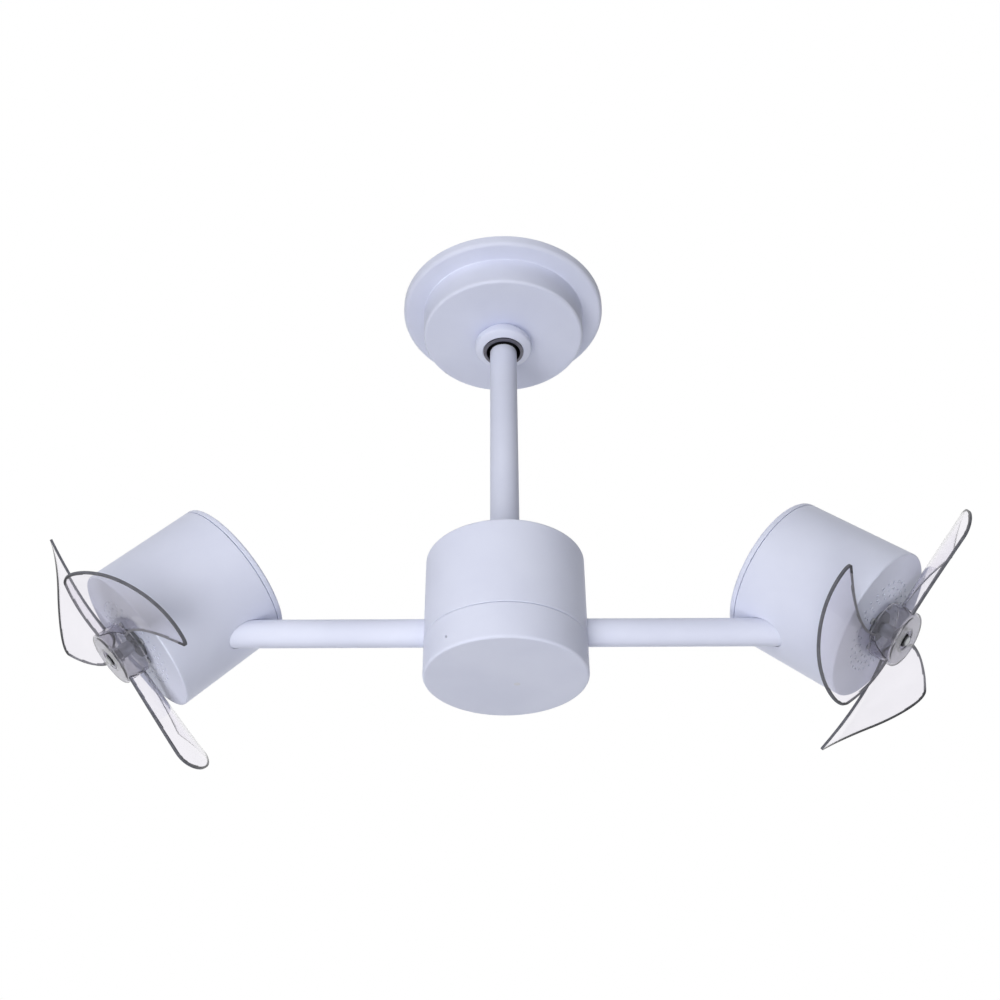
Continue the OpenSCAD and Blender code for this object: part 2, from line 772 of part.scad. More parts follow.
module arm_set_screws() {
    color(DARK) for (s = SIDES, dx = [8, 18])
        translate([s * (socket_reach - dx), 0, arm_z + arm_r + 7]) grub_screw(5, 6.9);
}

// ---- heads ----

module head_shell(side) {
    color(WHITE) head_frame(side) difference() {
        union() {
            ring(head_r, inner_r, shell_rear, shell_front);
            intersection() {
                on_arm_axis() translate([0, 0, entry_t - 2 * boss_r])
                    cylinder(r = boss_r, h = arm_tube_end + bush_l - entry_t + 2 * boss_r);
                translate([0, 0, shell_rear]) cylinder(r = head_r - head_wall / 2, h = head_l);
            }
            for (i = [0:rear_screws - 1]) rotate(60 + i * 360 / rear_screws)
                translate([rear_screw_r, 0, shell_rear + spigot_h + 0.3]) {
                    cylinder(d = 8, h = 14);
                    translate([0, -4, 0]) cube([head_r - rear_screw_r - head_wall / 2 - 0.4, 8, 14]);
                }
        }
        on_arm_axis() {
            translate([0, 0, entry_t - 3 * boss_r]) cylinder(r = arm_r + arm_gap, h = arm_tube_end + 0.2 - entry_t + 3 * boss_r);
            translate([0, 0, arm_tube_end]) cylinder(r = bush_r, h = bush_l + 1);
            translate([0, 0, groove_t]) rotate([0, 90, 0]) cylinder(d = 5 + 2 * slip_gap, h = boss_r + 2);
        }
        for (i = [0:rear_screws - 1]) rotate(60 + i * 360 / rear_screws)
            translate([rear_screw_r, 0, shell_rear]) cylinder(d = 3.4, h = 14);
    }
}

module front_plate(side) {
    color(WHITE) head_frame(side) difference() {
        union() {
            translate([0, 0, shell_front]) rotate_extrude() round_block(head_r, plate_t, head_edge);
            ring(inner_r - spigot_gap, inner_r - spigot_gap - 1.8, shell_front - spigot_h, shell_front + eps);
        }
        translate([0, 0, shell_front - 1]) cylinder(d = motor_boss_d + 0.4, h = plate_t + 2);
        for (k = [0:3]) rotate(45 + 90 * k) translate([motor_screw_pcd / 2, 0, shell_front - 1])
            cylinder(d = 4.4, h = plate_t + 2);
        for (j = [0:vent_rings - 1]) let (r = vent_start + j * vent_step, n = floor(2 * PI * r / 8.6))
            for (k = [0:n - 1]) rotate((k + j / 2) * 360 / n) translate([r, 0, shell_front - 1])
                cylinder(d = vent_d, h = plate_t + 2, $fn = 24);
    }
}

module rear_cap(side) {
    color(WHITE) head_frame(side) difference() {
        union() {
            translate([0, 0, shell_rear - seam]) mirror([0, 0, 1]) rotate_extrude()
                round_block(head_r, rear_cap_t - seam, head_edge);
            ring(inner_r - spigot_gap, inner_r - spigot_gap - 1.8, shell_rear - seam - eps, shell_rear + spigot_h);
        }
        for (i = [0:rear_screws - 1]) rotate(60 + i * 360 / rear_screws)
            translate([rear_screw_r, 0, head_rear - 1]) cylinder(d = 4, h = rear_cap_t + 2);
    }
}

module rear_cap_screws(side) {
    color(STEEL) head_frame(side) for (i = [0:rear_screws - 1]) rotate(60 + i * 360 / rear_screws)
        translate([rear_screw_r, 0, head_rear]) mirror([0, 0, 1]) pan_screw(3.2, 16);
}

module motor_can(side) {
    boss_r_m = motor_boss_d / 2;
    r_b = motor_bearing_d / 2 + slip_gap;
    color(ZINC) head_frame(side) difference() {
        union() {
            translate([0, 0, can_rear]) cylinder(d = can_d, h = can_l);
            translate([0, 0, shell_front - eps]) cylinder(r = boss_r_m, h = motor_nose - shell_front);
            translate([0, 0, can_rear - 3]) cylinder(r = boss_r_m - 1, h = 3 + eps);
        }
        // room for the windings and the rotor
        translate([0, 0, can_rear + can_wall + motor_bearing_w])
            cylinder(r = can_d / 2 - can_wall, h = can_l - 2 * can_wall - 2 * motor_bearing_w + 3);
        translate([0, 0, can_rear - 4]) cylinder(r = shaft_d / 2 + 1, h = can_l + 20);
        translate([0, 0, motor_nose - can_wall - motor_bearing_w]) cylinder(r = r_b, h = motor_bearing_w);
        translate([0, 0, can_rear + can_wall]) cylinder(r = r_b, h = motor_bearing_w + eps);
        for (k = [0:3]) rotate(45 + 90 * k) translate([motor_screw_pcd / 2, 0, can_front - 5])
            cylinder(d = 3.4, h = 6);
    }
}

module motor_stator(side) {
    r_out = can_d / 2 - can_wall - slip_gap;
    r_in = rotor_d / 2 + air_gap;
    z0 = can_rear + can_wall + motor_bearing_w + 3;
    z1 = can_front - motor_bearing_w - 4;
    color(COPPER) head_frame(side) difference() {
        ring(r_out, r_in, z0, z1);
        for (k = [0:11]) rotate(k * 30) translate([r_in - 1, -1, z0 - 1])
            cube([(r_out - r_in) * 0.55, 2, z1 - z0 + 2]);
    }
}

module motor_bearings(side) {
    r_b = motor_bearing_d / 2;
    color(STEEL) head_frame(side) {
        ring(r_b, shaft_d / 2 + shaft_gap, motor_nose - can_wall - motor_bearing_w, motor_nose - can_wall);
        ring(r_b, shaft_d / 2 + shaft_gap, can_rear + can_wall, can_rear + can_wall + motor_bearing_w);
    }
}

module motor_screws(side) {
    color(STEEL) head_frame(side) for (k = [0:3]) rotate(45 + 90 * k)
        translate([motor_screw_pcd / 2, 0, head_nose]) pan_screw(3.2, plate_t + 4);
}

module swivel_bush(side) {
    color(NYLON) head_frame(side) on_arm_axis() difference() {
        ring(bush_r, journal_d / 2 + swivel_gap, arm_tube_end + 0.4, arm_tube_end + bush_l);
        translate([0, 0, groove_t]) rotate([0, 90, 0]) cylinder(d = 5 + 2 * slip_gap, h = boss_r + 2);
    }
}

module stop_screw(side) {
    color(DARK) head_frame(side) on_arm_axis() translate([0, 0, groove_t]) rotate([0, 90, 0]) {
        translate([0, 0, groove_r + stop_gap]) cylinder(d = stop_d, h = bush_r - groove_r - stop_gap);
        translate([0, 0, bush_r - bush_wall + 0.5]) difference() {
            cylinder(d = 5, h = boss_wall + bush_wall);
            translate([0, 0, boss_wall + bush_wall - 2.5]) cylinder(d = 2.8, h = 3, $fn = 6);
        }
    }
}

// ---- propellers ----

// Blade surface: f is 0 on the inner circle and 1 on the tip circle, and u runs
// from the trailing edge (0) to the leading edge (1)
blade_root_r = prop_hub_r - prop_hub_wall / 2;
blade_base_r = prop_r / 10;
cells_t = 11;
cells_u = 16;
function share(r) = (r - blade_base_r) / (prop_r - blade_base_r);
function trail_at(f) = trail_sweep * f * (1.45 - 0.45 * f);
function sweep_at(f) = root_sweep + (tip_sweep - root_sweep) * f * (1.2 - 0.2 * f);
function camber_at(f) = camber_root + (camber_tip - camber_root) * f;
function rise_at(f) = rise_root + (rise_tip - rise_root) * f;
function middle_at(f) = hub_back + prop_hub_h / 2 + 8.5 * f - 8 * f * f;
function corner(x) = 1 - sqrt(1 - pow(min(max(x, 0), 1), 2));
function tip_r(u) = prop_r - tail_round * corner(1 - u / 0.38) - nose_round * corner((u - 0.93) / 0.07);
function blade_point(t, u, side) =
    let (r = blade_root_r + (tip_r(u) - blade_root_r) * t, f = share(r),
         a = -(trail_at(f) + sweep_at(f) * u),
         z = middle_at(f) + rise_at(f) * (0.5 - u) - camber_at(f) * 4 * u * (1 - u))
    [r * cos(a), r * sin(a), z + side * blade_t / 2];

module blade() {
    us = [for (i = [0:cells_u]) (1 - cos(180 * i / cells_u)) / 2];
    row = cells_u + 1;
    back = (cells_t + 1) * row;
    points = [for (side = [1, -1], j = [0:cells_t], u = us) blade_point(j / cells_t, u, side)];
    rim = [for (j = [0:cells_t - 1]) j * row,
        for (i = [0:cells_u - 1]) cells_t * row + i,
        for (j = [cells_t:-1:1]) j * row + cells_u,
        for (i = [cells_u:-1:1]) i];
    faces = concat(
        [for (j = [0:cells_t - 1], i = [0:cells_u - 1]) let (a = j * row + i) each
            [[a, a + row, a + row + 1], [a, a + row + 1, a + 1]]],
        [for (j = [0:cells_t - 1], i = [0:cells_u - 1]) let (a = back + j * row + i) each
            [[a, a + row + 1, a + row], [a, a + 1, a + row + 1]]],
        [for (i = [0:len(rim) - 1]) let (a = rim[i], b = rim[(i + 1) % len(rim)]) each
            [[b, a, a + back], [b, a + back, b + back]]]);
    polyhedron(points, faces);
}

module propeller(side) {
    turn = side < 0 ? turn_left : turn_right;
    color(CLEAR, 0.5) head_frame(side) rotate(turn) {
        // hub: a cup with its mouth to the motor and a recess for the nut
        difference() {
            union() {
                translate([0, 0, hub_back]) rotate_extrude()
                    cup_half(prop_hub_r, prop_hub_h, prop_hub_wall, 2.5);
                translate([0, 0, recess_floor - web_t]) cylinder(d = nut_recess_d + 2 * web_t, h = prop_nut_h);
                translate([0, 0, collar_end]) cylinder(d = collar_d + 3, h = recess_floor - collar_end - eps);
            }
            translate([0, 0, recess_floor]) cylinder(d = nut_recess_d, h = prop_nut_h + 1);
            translate([0, 0, hub_back]) cylinder(r = shaft_d / 2 + slip_gap, h = prop_hub_h);
        }
        for (k = [0:blades - 1]) rotate(k * 360 / blades) {
            blade();
            translate([collar_d / 2 + 1, -0.8, recess_floor - 8])
                cube([prop_hub_r - prop_hub_wall / 2 - collar_d / 2 - 1, 1.6, 8 + web_t]);
        }
    }
}

module motor_shaft(side) {
    color(STEEL) head_frame(side) translate([0, 0, shaft_rear])
        cylinder(d = shaft_d, h = shaft_front - shaft_rear);
}

module motor_rotor(side) {
    z0 = can_rear + can_wall + motor_bearing_w + 4;
    z1 = can_front - motor_bearing_w - 5;
    color(STEEL) head_frame(side) difference() {
        ring(rotor_d / 2, shaft_d / 2 + slip_gap, z0, z1);
        for (k = [0:7]) rotate(k * 45) translate([rotor_d / 3, 0, z0 - 1])
            cylinder(d = 4, h = z1 - z0 + 2);
    }
}

module shaft_collar(side) {
    color(STEEL) head_frame(side) difference() {
        ring(collar_d / 2, shaft_d / 2 + slip_gap, collar_start, collar_end);
        translate([0, 0, (collar_start + collar_end) / 2]) rotate([0, 90, 0])
            cylinder(d = 3, h = collar_d);
    }
}

module propeller_nut(side) {
    color(DARK) head_frame(side) difference() {
        translate([0, 0, recess_floor]) cylinder(d = prop_nut_af / cos(30), h = prop_nut_h, $fn = 6);
        translate([0, 0, recess_floor - 1]) cylinder(r = shaft_d / 2 + slip_gap, h = prop_nut_h + 2);
    }
}

ceiling_bracket();
canopy();
canopy_nipple();
canopy_lock_ring();
terminal_block();
hanger_ball();
hanger_pin();
down_rod();
swivel_spindle();
spindle_pin();
spindle_nut();
bearing_inner_races();
slip_ring_core();
arm_hub();
swivel_bearings();
hub_circlip();
drum_shell();
drum_shell_screws();
drum_cap();
cap_screws();
cap_spider();
spider_screws();
receiver_board();
receiver_lens();
slip_ring_housing();
arm_set_screws();
arm_tube(-1);  // left_arm
arm_tube(1);  // right_arm
arm_journal(-1);  // left_arm_journal
arm_journal(1);  // right_arm_journal
head_shell(-1);  // left_head_shell
head_shell(1);  // right_head_shell
front_plate(-1);  // left_front_plate
front_plate(1);  // right_front_plate
rear_cap(-1);  // left_rear_cap
rear_cap(1);  // right_rear_cap
rear_cap_screws(-1);  // left_rear_cap_screws
rear_cap_screws(1);  // right_rear_cap_screws
motor_can(-1);  // left_motor_can
motor_can(1);  // right_motor_can
motor_stator(-1);  // left_motor_stator
motor_stator(1);  // right_motor_stator
motor_bearings(-1);  // left_motor_bearings
motor_bearings(1);  // right_motor_bearings
motor_screws(-1);  // left_motor_screws
motor_screws(1);  // right_motor_screws
swivel_bush(-1);  // left_swivel_bush
swivel_bush(1);  // right_swivel_bush
stop_screw(-1);  // left_stop_screw
stop_screw(1);  // right_stop_screw
propeller(-1);  // left_propeller
propeller(1);  // right_propeller
motor_shaft(-1);  // left_motor_shaft
motor_shaft(1);  // right_motor_shaft
motor_rotor(-1);  // left_motor_rotor
motor_rotor(1);  // right_motor_rotor
shaft_collar(-1);  // left_shaft_collar
shaft_collar(1);  // right_shaft_collar
propeller_nut(-1);  // left_propeller_nut
propeller_nut(1);  // right_propeller_nut
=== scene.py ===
# %% [markdown]
# # A twin head ceiling fan
# The fan is a white powder coated assembly seen from below: a canopy, a rod, a
# drum that turns, two arms, and on each arm a slanted motor head with a clear
# moulded propeller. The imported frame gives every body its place, and this file
# gives each visible piece its fine shape and its finish.

# %% Load the frame
import json
import math

import bmesh
import bpy
from mathutils import Matrix, Vector


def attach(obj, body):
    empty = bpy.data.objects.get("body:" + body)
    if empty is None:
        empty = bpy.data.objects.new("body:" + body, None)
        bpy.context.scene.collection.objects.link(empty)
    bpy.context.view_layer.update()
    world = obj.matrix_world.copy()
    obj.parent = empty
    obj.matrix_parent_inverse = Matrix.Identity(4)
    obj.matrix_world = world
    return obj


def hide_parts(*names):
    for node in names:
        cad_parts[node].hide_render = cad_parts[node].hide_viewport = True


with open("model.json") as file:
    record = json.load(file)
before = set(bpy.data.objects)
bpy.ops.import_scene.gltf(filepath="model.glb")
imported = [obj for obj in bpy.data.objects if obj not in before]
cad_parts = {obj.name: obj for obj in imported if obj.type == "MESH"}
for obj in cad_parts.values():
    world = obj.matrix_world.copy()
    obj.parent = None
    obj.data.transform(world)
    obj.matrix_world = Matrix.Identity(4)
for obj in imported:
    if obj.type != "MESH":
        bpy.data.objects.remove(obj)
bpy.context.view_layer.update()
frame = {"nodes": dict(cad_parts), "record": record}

# %% [markdown]
# ## The fan's own sizes
# All lengths are millimetres, as on a maker's drawing, and one factor turns them
# into Blender's metres. The ceiling is at height zero, so heights are negative. A
# head has a frame of its own: its axis is z and its front looks along +z, so the
# same drawing serves both heads.

# %% Sizes
MM = 0.001
# the arms' height, and how far the heads stand from the rod
ARM_Z, HEAD_REACH = -384.0, 315.5
# the angle in degrees from an arm to its head's axis, which passes beside the arm's at this distance
HEAD_SLANT, HEAD_OFFSET = 46.1, 7.8
SIDES = {"left": -1, "right": 1}
# how far each head is tipped from plumb and how far each propeller has turned, in degrees
TILT = {"left": 6.8, "right": 19.3}
TURN = {"left": 60.0, "right": 83.0}


def head_frame(side):
    """A head's own frame in the row's frame, in millimetres."""
    sign = SIDES[side]
    return (Matrix.Translation((sign * HEAD_REACH, 0, ARM_Z))
            @ Matrix.Rotation(math.radians(-TILT[side]), 4, "X")
            @ Matrix.Rotation(0 if sign < 0 else math.pi, 4, "Z")
            @ Matrix.Rotation(math.radians(-90 - HEAD_SLANT), 4, "Y")
            @ Matrix.Translation((0, HEAD_OFFSET, 0)))


def arm_frame(side):
    """The arm's axis as z, pointing away from the drum, with zero at the head."""
    sign = SIDES[side]
    return (Matrix.Translation((sign * HEAD_REACH, 0, ARM_Z))
            @ Matrix.Rotation(0 if sign < 0 else math.pi, 4, "Z")
            @ Matrix.Rotation(math.radians(-90), 4, "Y"))


for side in SIDES:
    print(side, "head's axis passes through", [round(c, 1) for c in head_frame(side).translation])

# %% [markdown]
# ## The camera
# The photographer stood below and in front of the fan with a lens of about 45 mm
# and tipped the camera up by 36 degrees. A fit of the photograph's round edges
# gave the place, the turn and the lens.

# %% Camera
bpy.context.scene.view_settings.view_transform = "Standard"
CAMERA_AT = (-7.33, -930.35, -921.43)
PITCH, YAW, ROLL = (math.radians(a) for a in (36.10, 0.19, -0.33))
LENS, SENSOR = 44.93, 36.0
CLIP_START, CLIP_END = 0.01, 50


def make_camera():
    look = Vector((math.sin(YAW) * math.cos(PITCH), math.cos(YAW) * math.cos(PITCH), math.sin(PITCH)))
    right = look.cross(Vector((0, 0, 1))).normalized()
    up = right.cross(look)
    right, up = (math.cos(ROLL) * right + math.sin(ROLL) * up,
                 math.cos(ROLL) * up - math.sin(ROLL) * right)
    data = bpy.data.cameras.new("camera")
    data.lens, data.sensor_width = LENS, SENSOR
    data.clip_start, data.clip_end = CLIP_START, CLIP_END
    camera = bpy.data.objects.new("camera", data)
    turn = Matrix((right, up, -look)).transposed().to_4x4()
    camera.matrix_world = Matrix.Translation(Vector(CAMERA_AT) * MM) @ turn
    bpy.context.collection.objects.link(camera)
    bpy.context.scene.camera = camera


make_camera()

# %% [markdown]
# ## Nodes without fuss
# Materials and Geometry Nodes are built with one helper. It adds a node, gives it
# its settings, and links or sets its inputs.

# %% One helper for every node
def add(tree, kind, inputs=(), **settings):
    node = tree.nodes.new(kind)
    for key, value in settings.items():
        setattr(node, key, value)
    for key, value in dict(inputs).items():
        if isinstance(value, bpy.types.NodeSocket):
            tree.links.new(value, node.inputs[key])
        else:
            node.inputs[key].default_value = value
    return node


def linear(code):
    """An sRGB hex colour as linear red, green, blue and alpha."""
    parts = [int(code[i:i + 2], 16) / 255 for i in (1, 3, 5)]
    return [c / 12.92 if c <= 0.04045 else ((c + 0.055) / 1.055) ** 2.4 for c in parts] + [1.0]


# the noise values at which the first and the second shade are reached
SHADE_EDGES = (0.35, 0.65)


def surface(name, bump, shades, **sockets):
    """A Principled material. bump is (pattern's size in mm, height in mm, detail),
    shades is (first colour, second colour, size in mm)."""
    material = bpy.data.materials.new(name)
    material.use_nodes = True
    tree = material.node_tree
    shader = tree.nodes["Principled BSDF"]
    for key, value in sockets.items():
        shader.inputs[key.replace("_", " ")].default_value = value
    place = add(tree, "ShaderNodeTexCoord").outputs["Object"]
    size, height, detail = bump
    noise = add(tree, "ShaderNodeTexNoise",
                {"Vector": place, "Scale": 1 / (size * MM), "Detail": detail})
    relief = add(tree, "ShaderNodeBump",
                 {"Height": noise.outputs["Fac"], "Distance": height * MM, "Strength": 1.0})
    tree.links.new(relief.outputs["Normal"], shader.inputs["Normal"])
    first, second, size = shades
    clouds = add(tree, "ShaderNodeTexNoise",
                 {"Vector": place, "Scale": 1 / (size * MM), "Detail": 3.0})
    blend = add(tree, "ShaderNodeValToRGB", {"Fac": clouds.outputs["Fac"]})
    for stop, edge, code in zip(blend.color_ramp.elements, SHADE_EDGES, (first, second)):
        stop.position, stop.color = edge, linear(code)
    tree.links.new(blend.outputs["Color"], shader.inputs["Base Color"])
    return material


# %% [markdown]
# ## Finishes of the metalwork
# The outside is powder coated: the powder melts into a smooth, slightly waved
# skin, which softens every reflection. Inside are plated, ground and cast metals,
# wire, nylon and a circuit board. Every finish has a fine relief and two close
# shades, since no real surface is one flat colour. The grain of the plated and
# ground metals is finer in life and is drawn as coarse as it needs to show.

# %% Metals, paints and small plastics
# powder that melted and flowed: soft light, no sharp reflection, a trace of blue
powder_coat = surface("white powder coat", bump=(1.1, 0.012, 2.0), shades=("#d8dcef", "#dde1f3", 60),
                      Roughness=0.5, IOR=1.5)
# wet paint on small heads: a little glossier and greyer than the powder coat
screw_paint = surface("white painted steel", bump=(0.6, 0.01, 2.0), shades=("#d0d3e2", "#d8dbea", 4),
                      Roughness=0.4, IOR=1.5)
# turned and tumbled, so it gleams but mirrors nothing
satin_aluminium = surface("satin aluminium", bump=(0.5, 0.004, 3.0), shades=("#b9bbc0", "#c6c8cc", 6),
                          Metallic=1.0, Roughness=0.38)
# a dull, dark grey metal
dull_nickel = surface("dull nickel plate", bump=(0.5, 0.006, 3.0), shades=("#74737c", "#7f7e88", 5),
                      Metallic=1.0, Roughness=0.5)
# passivated zinc: cloudy, with a trace of yellow
zinc_plate = surface("zinc plated steel", bump=(2.0, 0.01, 3.0), shades=("#a9aba8", "#b9bbb4", 8),
                     Metallic=1.0, Roughness=0.45)
# ground on a wheel: the sharpest gleam of the metals here
ground_steel = surface("ground steel", bump=(0.4, 0.003, 3.0), shades=("#a6a8ab", "#b4b6b9", 5),
                       Metallic=1.0, Roughness=0.3)
# the skin that a sand mould leaves: grainy and dull
sand_cast = surface("cast aluminium", bump=(1.2, 0.06, 4.0), shades=("#8f9193", "#9d9fa1", 7),
                    Metallic=1.0, Roughness=0.6)
# varnished copper: red brown with a soft shine
enamel_wire = surface("enamelled copper wire", bump=(0.9, 0.05, 2.0), shades=("#8e4a22", "#a35c2e", 3),
                      Metallic=1.0, Roughness=0.35)
# undyed moulded nylon: ivory
nylon = surface("natural nylon", bump=(1.0, 0.01, 2.0), shades=("#e2dfd2", "#eae7db", 10),
                Roughness=0.45, IOR=1.53)
# lacquer over copper tracks: green with a slight shine
circuit_board = surface("solder mask green", bump=(1.5, 0.02, 2.0), shades=("#1d5a34", "#246a3e", 5),
                        Roughness=0.35, IOR=1.55)
# moulded black with an even, low shine; on the rod's top the same black is painted shade
black_plastic_and_painted_shade = surface("black ABS and painted shade", bump=(0.8, 0.015, 2.0), shades=("#1b1b1d", "#242427", 8),
                        Roughness=0.5, IOR=1.54)
# blackened and oiled steel: dark with a dull gleam
black_oxide = surface("black oxide steel", bump=(0.5, 0.006, 2.0), shades=("#18181b", "#232327", 2),
                      Metallic=0.6, Roughness=0.4)
# a lens that lets a receiver see: milky, nearly the drum's own white
lens_plastic = surface("milky polycarbonate", bump=(1.0, 0.01, 2.0), shades=("#d3d5e2", "#dadce8", 6),
                       Roughness=0.3, IOR=1.58)

# %% [markdown]
# ## Finishes of the propellers
# The propellers are moulded in clear polycarbonate. A thin sheet of it hardly
# bends the light, so against a white ground it is nearly invisible. Its rounded
# edges turn the light away from the eye and look dark; here that dark is painted
# shade, in finishes of their own for the edges. The index of refraction is 1.3 and not the real 1.58, as
# matched to the photograph, in which the sheets reflect little.

# %% Clear plastics
# the sheet: the ground behind it shows with hardly any tint
clear_plastic = surface("clear polycarbonate", bump=(9.0, 0.003, 1.0), shades=("#efedf3", "#f2f0f6", 30),
                        Roughness=0.02, IOR=1.3, Transmission_Weight=1.0)
# the hub's thick walls: smoky, with what is inside showing through
hub_plastic = surface("clear polycarbonate, thick", bump=(6.0, 0.03, 1.0),
                      shades=("#cccbd3", "#d6d5dc", 12), Roughness=0.08, IOR=1.3, Transmission_Weight=0.92)
# the rounded rims and the tip's band: almost black, as the light turns away in them
thick_edge = surface("polycarbonate edge, rounded", bump=(1.5, 0.01, 2.0), shades=("#2b2b31", "#35353b", 6),
                     Roughness=0.3, IOR=1.4, Transmission_Weight=0.4)
# the band along a blade's sides: a soft grey line of painted shade, where the light turns away
thin_edge = surface("polycarbonate edge, thin", bump=(1.5, 0.01, 2.0), shades=("#94939b", "#9f9ea6", 6),
                    Roughness=0.45, IOR=1.06, Specular_IOR_Level=0.0, Transmission_Weight=0.3)
# the flat face between the rounded rims: painted shade, a grey band between two dark lines
flat_edge = surface("polycarbonate edge, flat", bump=(1.5, 0.01, 2.0), shades=("#5f6067", "#6b6c73", 6),
                    Roughness=0.4, IOR=1.4, Specular_IOR_Level=0.1)

# %% [markdown]
# ## Turned parts
# Nearly every part here is round, so one drawing helper does most of the work: a
# list of corners with fillet radii becomes a smooth outline, and the outline is
# turned about the z axis. Short straight runs beside each fillet keep the
# shading of the flats clean.

# %% Outline and lathe
# faces that meet at more than this angle are shaded with a sharp edge
SHARP = math.radians(32)
# the longest share of a side that one fillet may take, so that two never meet
FILLET_SHARE = 0.48
# millimetres from the axis that still count as on it, and metres between points that count as one
ON_AXIS, WELD = 1e-6, 1e-7


def outline(corners, steps=7, hold=0.5):
    """Closed outline in (radius, height) from corners (radius, height, fillet)."""
    points = []
    count = len(corners)
    for i, (x, y, fillet) in enumerate(corners):
        here = Vector((x, y))
        before = Vector(corners[i - 1][:2]) - here
        after = Vector(corners[(i + 1) % count][:2]) - here
        if fillet <= 0 or before.length == 0 or after.length == 0:
            points.append(here)
            continue
        before_n, after_n = before.normalized(), after.normalized()
        room_before, room_after = before.length * FILLET_SHARE, after.length * FILLET_SHARE
        half = before_n.angle(after_n) / 2
        reach = min(fillet / math.tan(half), room_before, room_after)
        radius = reach * math.tan(half)
        centre = here + (before_n + after_n).normalized() * (radius / math.sin(half))
        start, end = here + before_n * reach, here + after_n * reach
        extra = min(hold, reach)
        if room_before > reach + extra:
            points.append(start + before_n * extra)
        a, b = start - centre, end - centre
        sweep = a.angle_signed(b)
        for k in range(steps + 1):
            turned_by = -sweep * k / steps
            c, s = math.cos(turned_by), math.sin(turned_by)
            points.append(centre + Vector((a.x * c - a.y * s, a.x * s + a.y * c)))
        if room_after > reach + extra:
            points.append(end + after_n * extra)
    return points


def plain_object(name, bm, material):
    """A finished mesh as an object at the origin, shaded smooth up to its edges."""
    bmesh.ops.remove_doubles(bm, verts=bm.verts, dist=WELD)
    bmesh.ops.recalc_face_normals(bm, faces=bm.faces)
    mesh = bpy.data.meshes.new(name)
    bm.to_mesh(mesh)
    bm.free()
    mesh.shade_smooth()
    mesh.set_sharp_from_angle(angle=SHARP)
    mesh.materials.append(material)
    obj = bpy.data.objects.new(name, mesh)
    bpy.context.collection.objects.link(obj)
    return obj


def turned(name, corners, material, place=Matrix(), segments=192):
    """Turns a closed outline about z, then puts it in its place."""
    bm = bmesh.new()
    rings = []
    for point in outline(corners):
        if abs(point.x) < ON_AXIS:
            rings.append([bm.verts.new((0, 0, point.y))])
            continue
        rings.append([bm.verts.new((point.x * math.cos(a), point.x * math.sin(a), point.y))
                      for a in (2 * math.pi * k / segments for k in range(segments))])
    for i, ring in enumerate(rings):
        other = rings[(i + 1) % len(rings)]
        if len(ring) == 1 and len(other) == 1:
            continue
        for k in range(segments):
            n = (k + 1) % segments
            loop = ([ring[0]] if len(ring) == 1 else [ring[k], ring[n]])
            loop += ([other[0]] if len(other) == 1 else [other[n], other[k]])
            bm.faces.new(loop)
    bmesh.ops.transform(bm, matrix=Matrix.Diagonal((MM, MM, MM, 1)) @ place, verts=bm.verts)
    return plain_object(name, bm, material)


def bar(radius, low, high, edge=0.0):
    """The outline of a plain round bar."""
    return [(0, low, 0), (radius, low, edge), (radius, high, edge), (0, high, 0)]


def settle(obj):
    """Turns an object's modifiers into plain mesh."""
    graph = bpy.context.evaluated_depsgraph_get()
    mesh = bpy.data.meshes.new_from_object(obj.evaluated_get(graph), depsgraph=graph)
    mesh.name = obj.name
    obj.modifiers.clear()
    obj.data = mesh
    return obj


def combine(obj, tool, operation):
    """Cuts a tool out of an object, or joins it on, and removes the tool."""
    change = obj.modifiers.new("tool", "BOOLEAN")
    change.object, change.operation, change.solver = tool, operation, "EXACT"
    change.material_mode = "TRANSFER"
    settle(obj)
    bpy.data.objects.remove(tool)
    obj.data.set_sharp_from_angle(angle=SHARP)
    return obj


def moved(obj, place):
    """Puts a mesh drawn at the origin in its place, which is given in millimetres."""
    scale = Matrix.Diagonal((MM, MM, MM, 1))
    obj.data.transform(scale @ place @ scale.inverted())
    return obj


ALONG_X = Matrix.Rotation(math.pi / 2, 4, "Y")

# %% [markdown]
# ## Whatever repeats round an axis
# Screws, screw holes, vent holes and blades all repeat round an axis at equal
# steps. Geometry Nodes do that once for all of them: points in a list, an
# instance on each, and the instances made real.

# %% Repeat round an axis, with Geometry Nodes
def new_tree(name, inputs):
    tree = bpy.data.node_groups.new(name, "GeometryNodeTree")
    tree.interface.new_socket("Geometry", in_out="OUTPUT", socket_type="NodeSocketGeometry")
    for label, kind in inputs:
        tree.interface.new_socket(label, in_out="INPUT", socket_type=kind)
    return tree, add(tree, "NodeGroupInput").outputs, add(tree, "NodeGroupOutput").inputs


def use_tree(obj, tree, values):
    """Runs a tree on an object and keeps the result as plain mesh."""
    step = obj.modifiers.new(tree.name, "NODES")
    step.node_group = tree
    for item in tree.interface.items_tree:
        if item.in_out == "INPUT" and item.name in values:
            step[item.identifier] = values[item.name]
    return settle(obj)


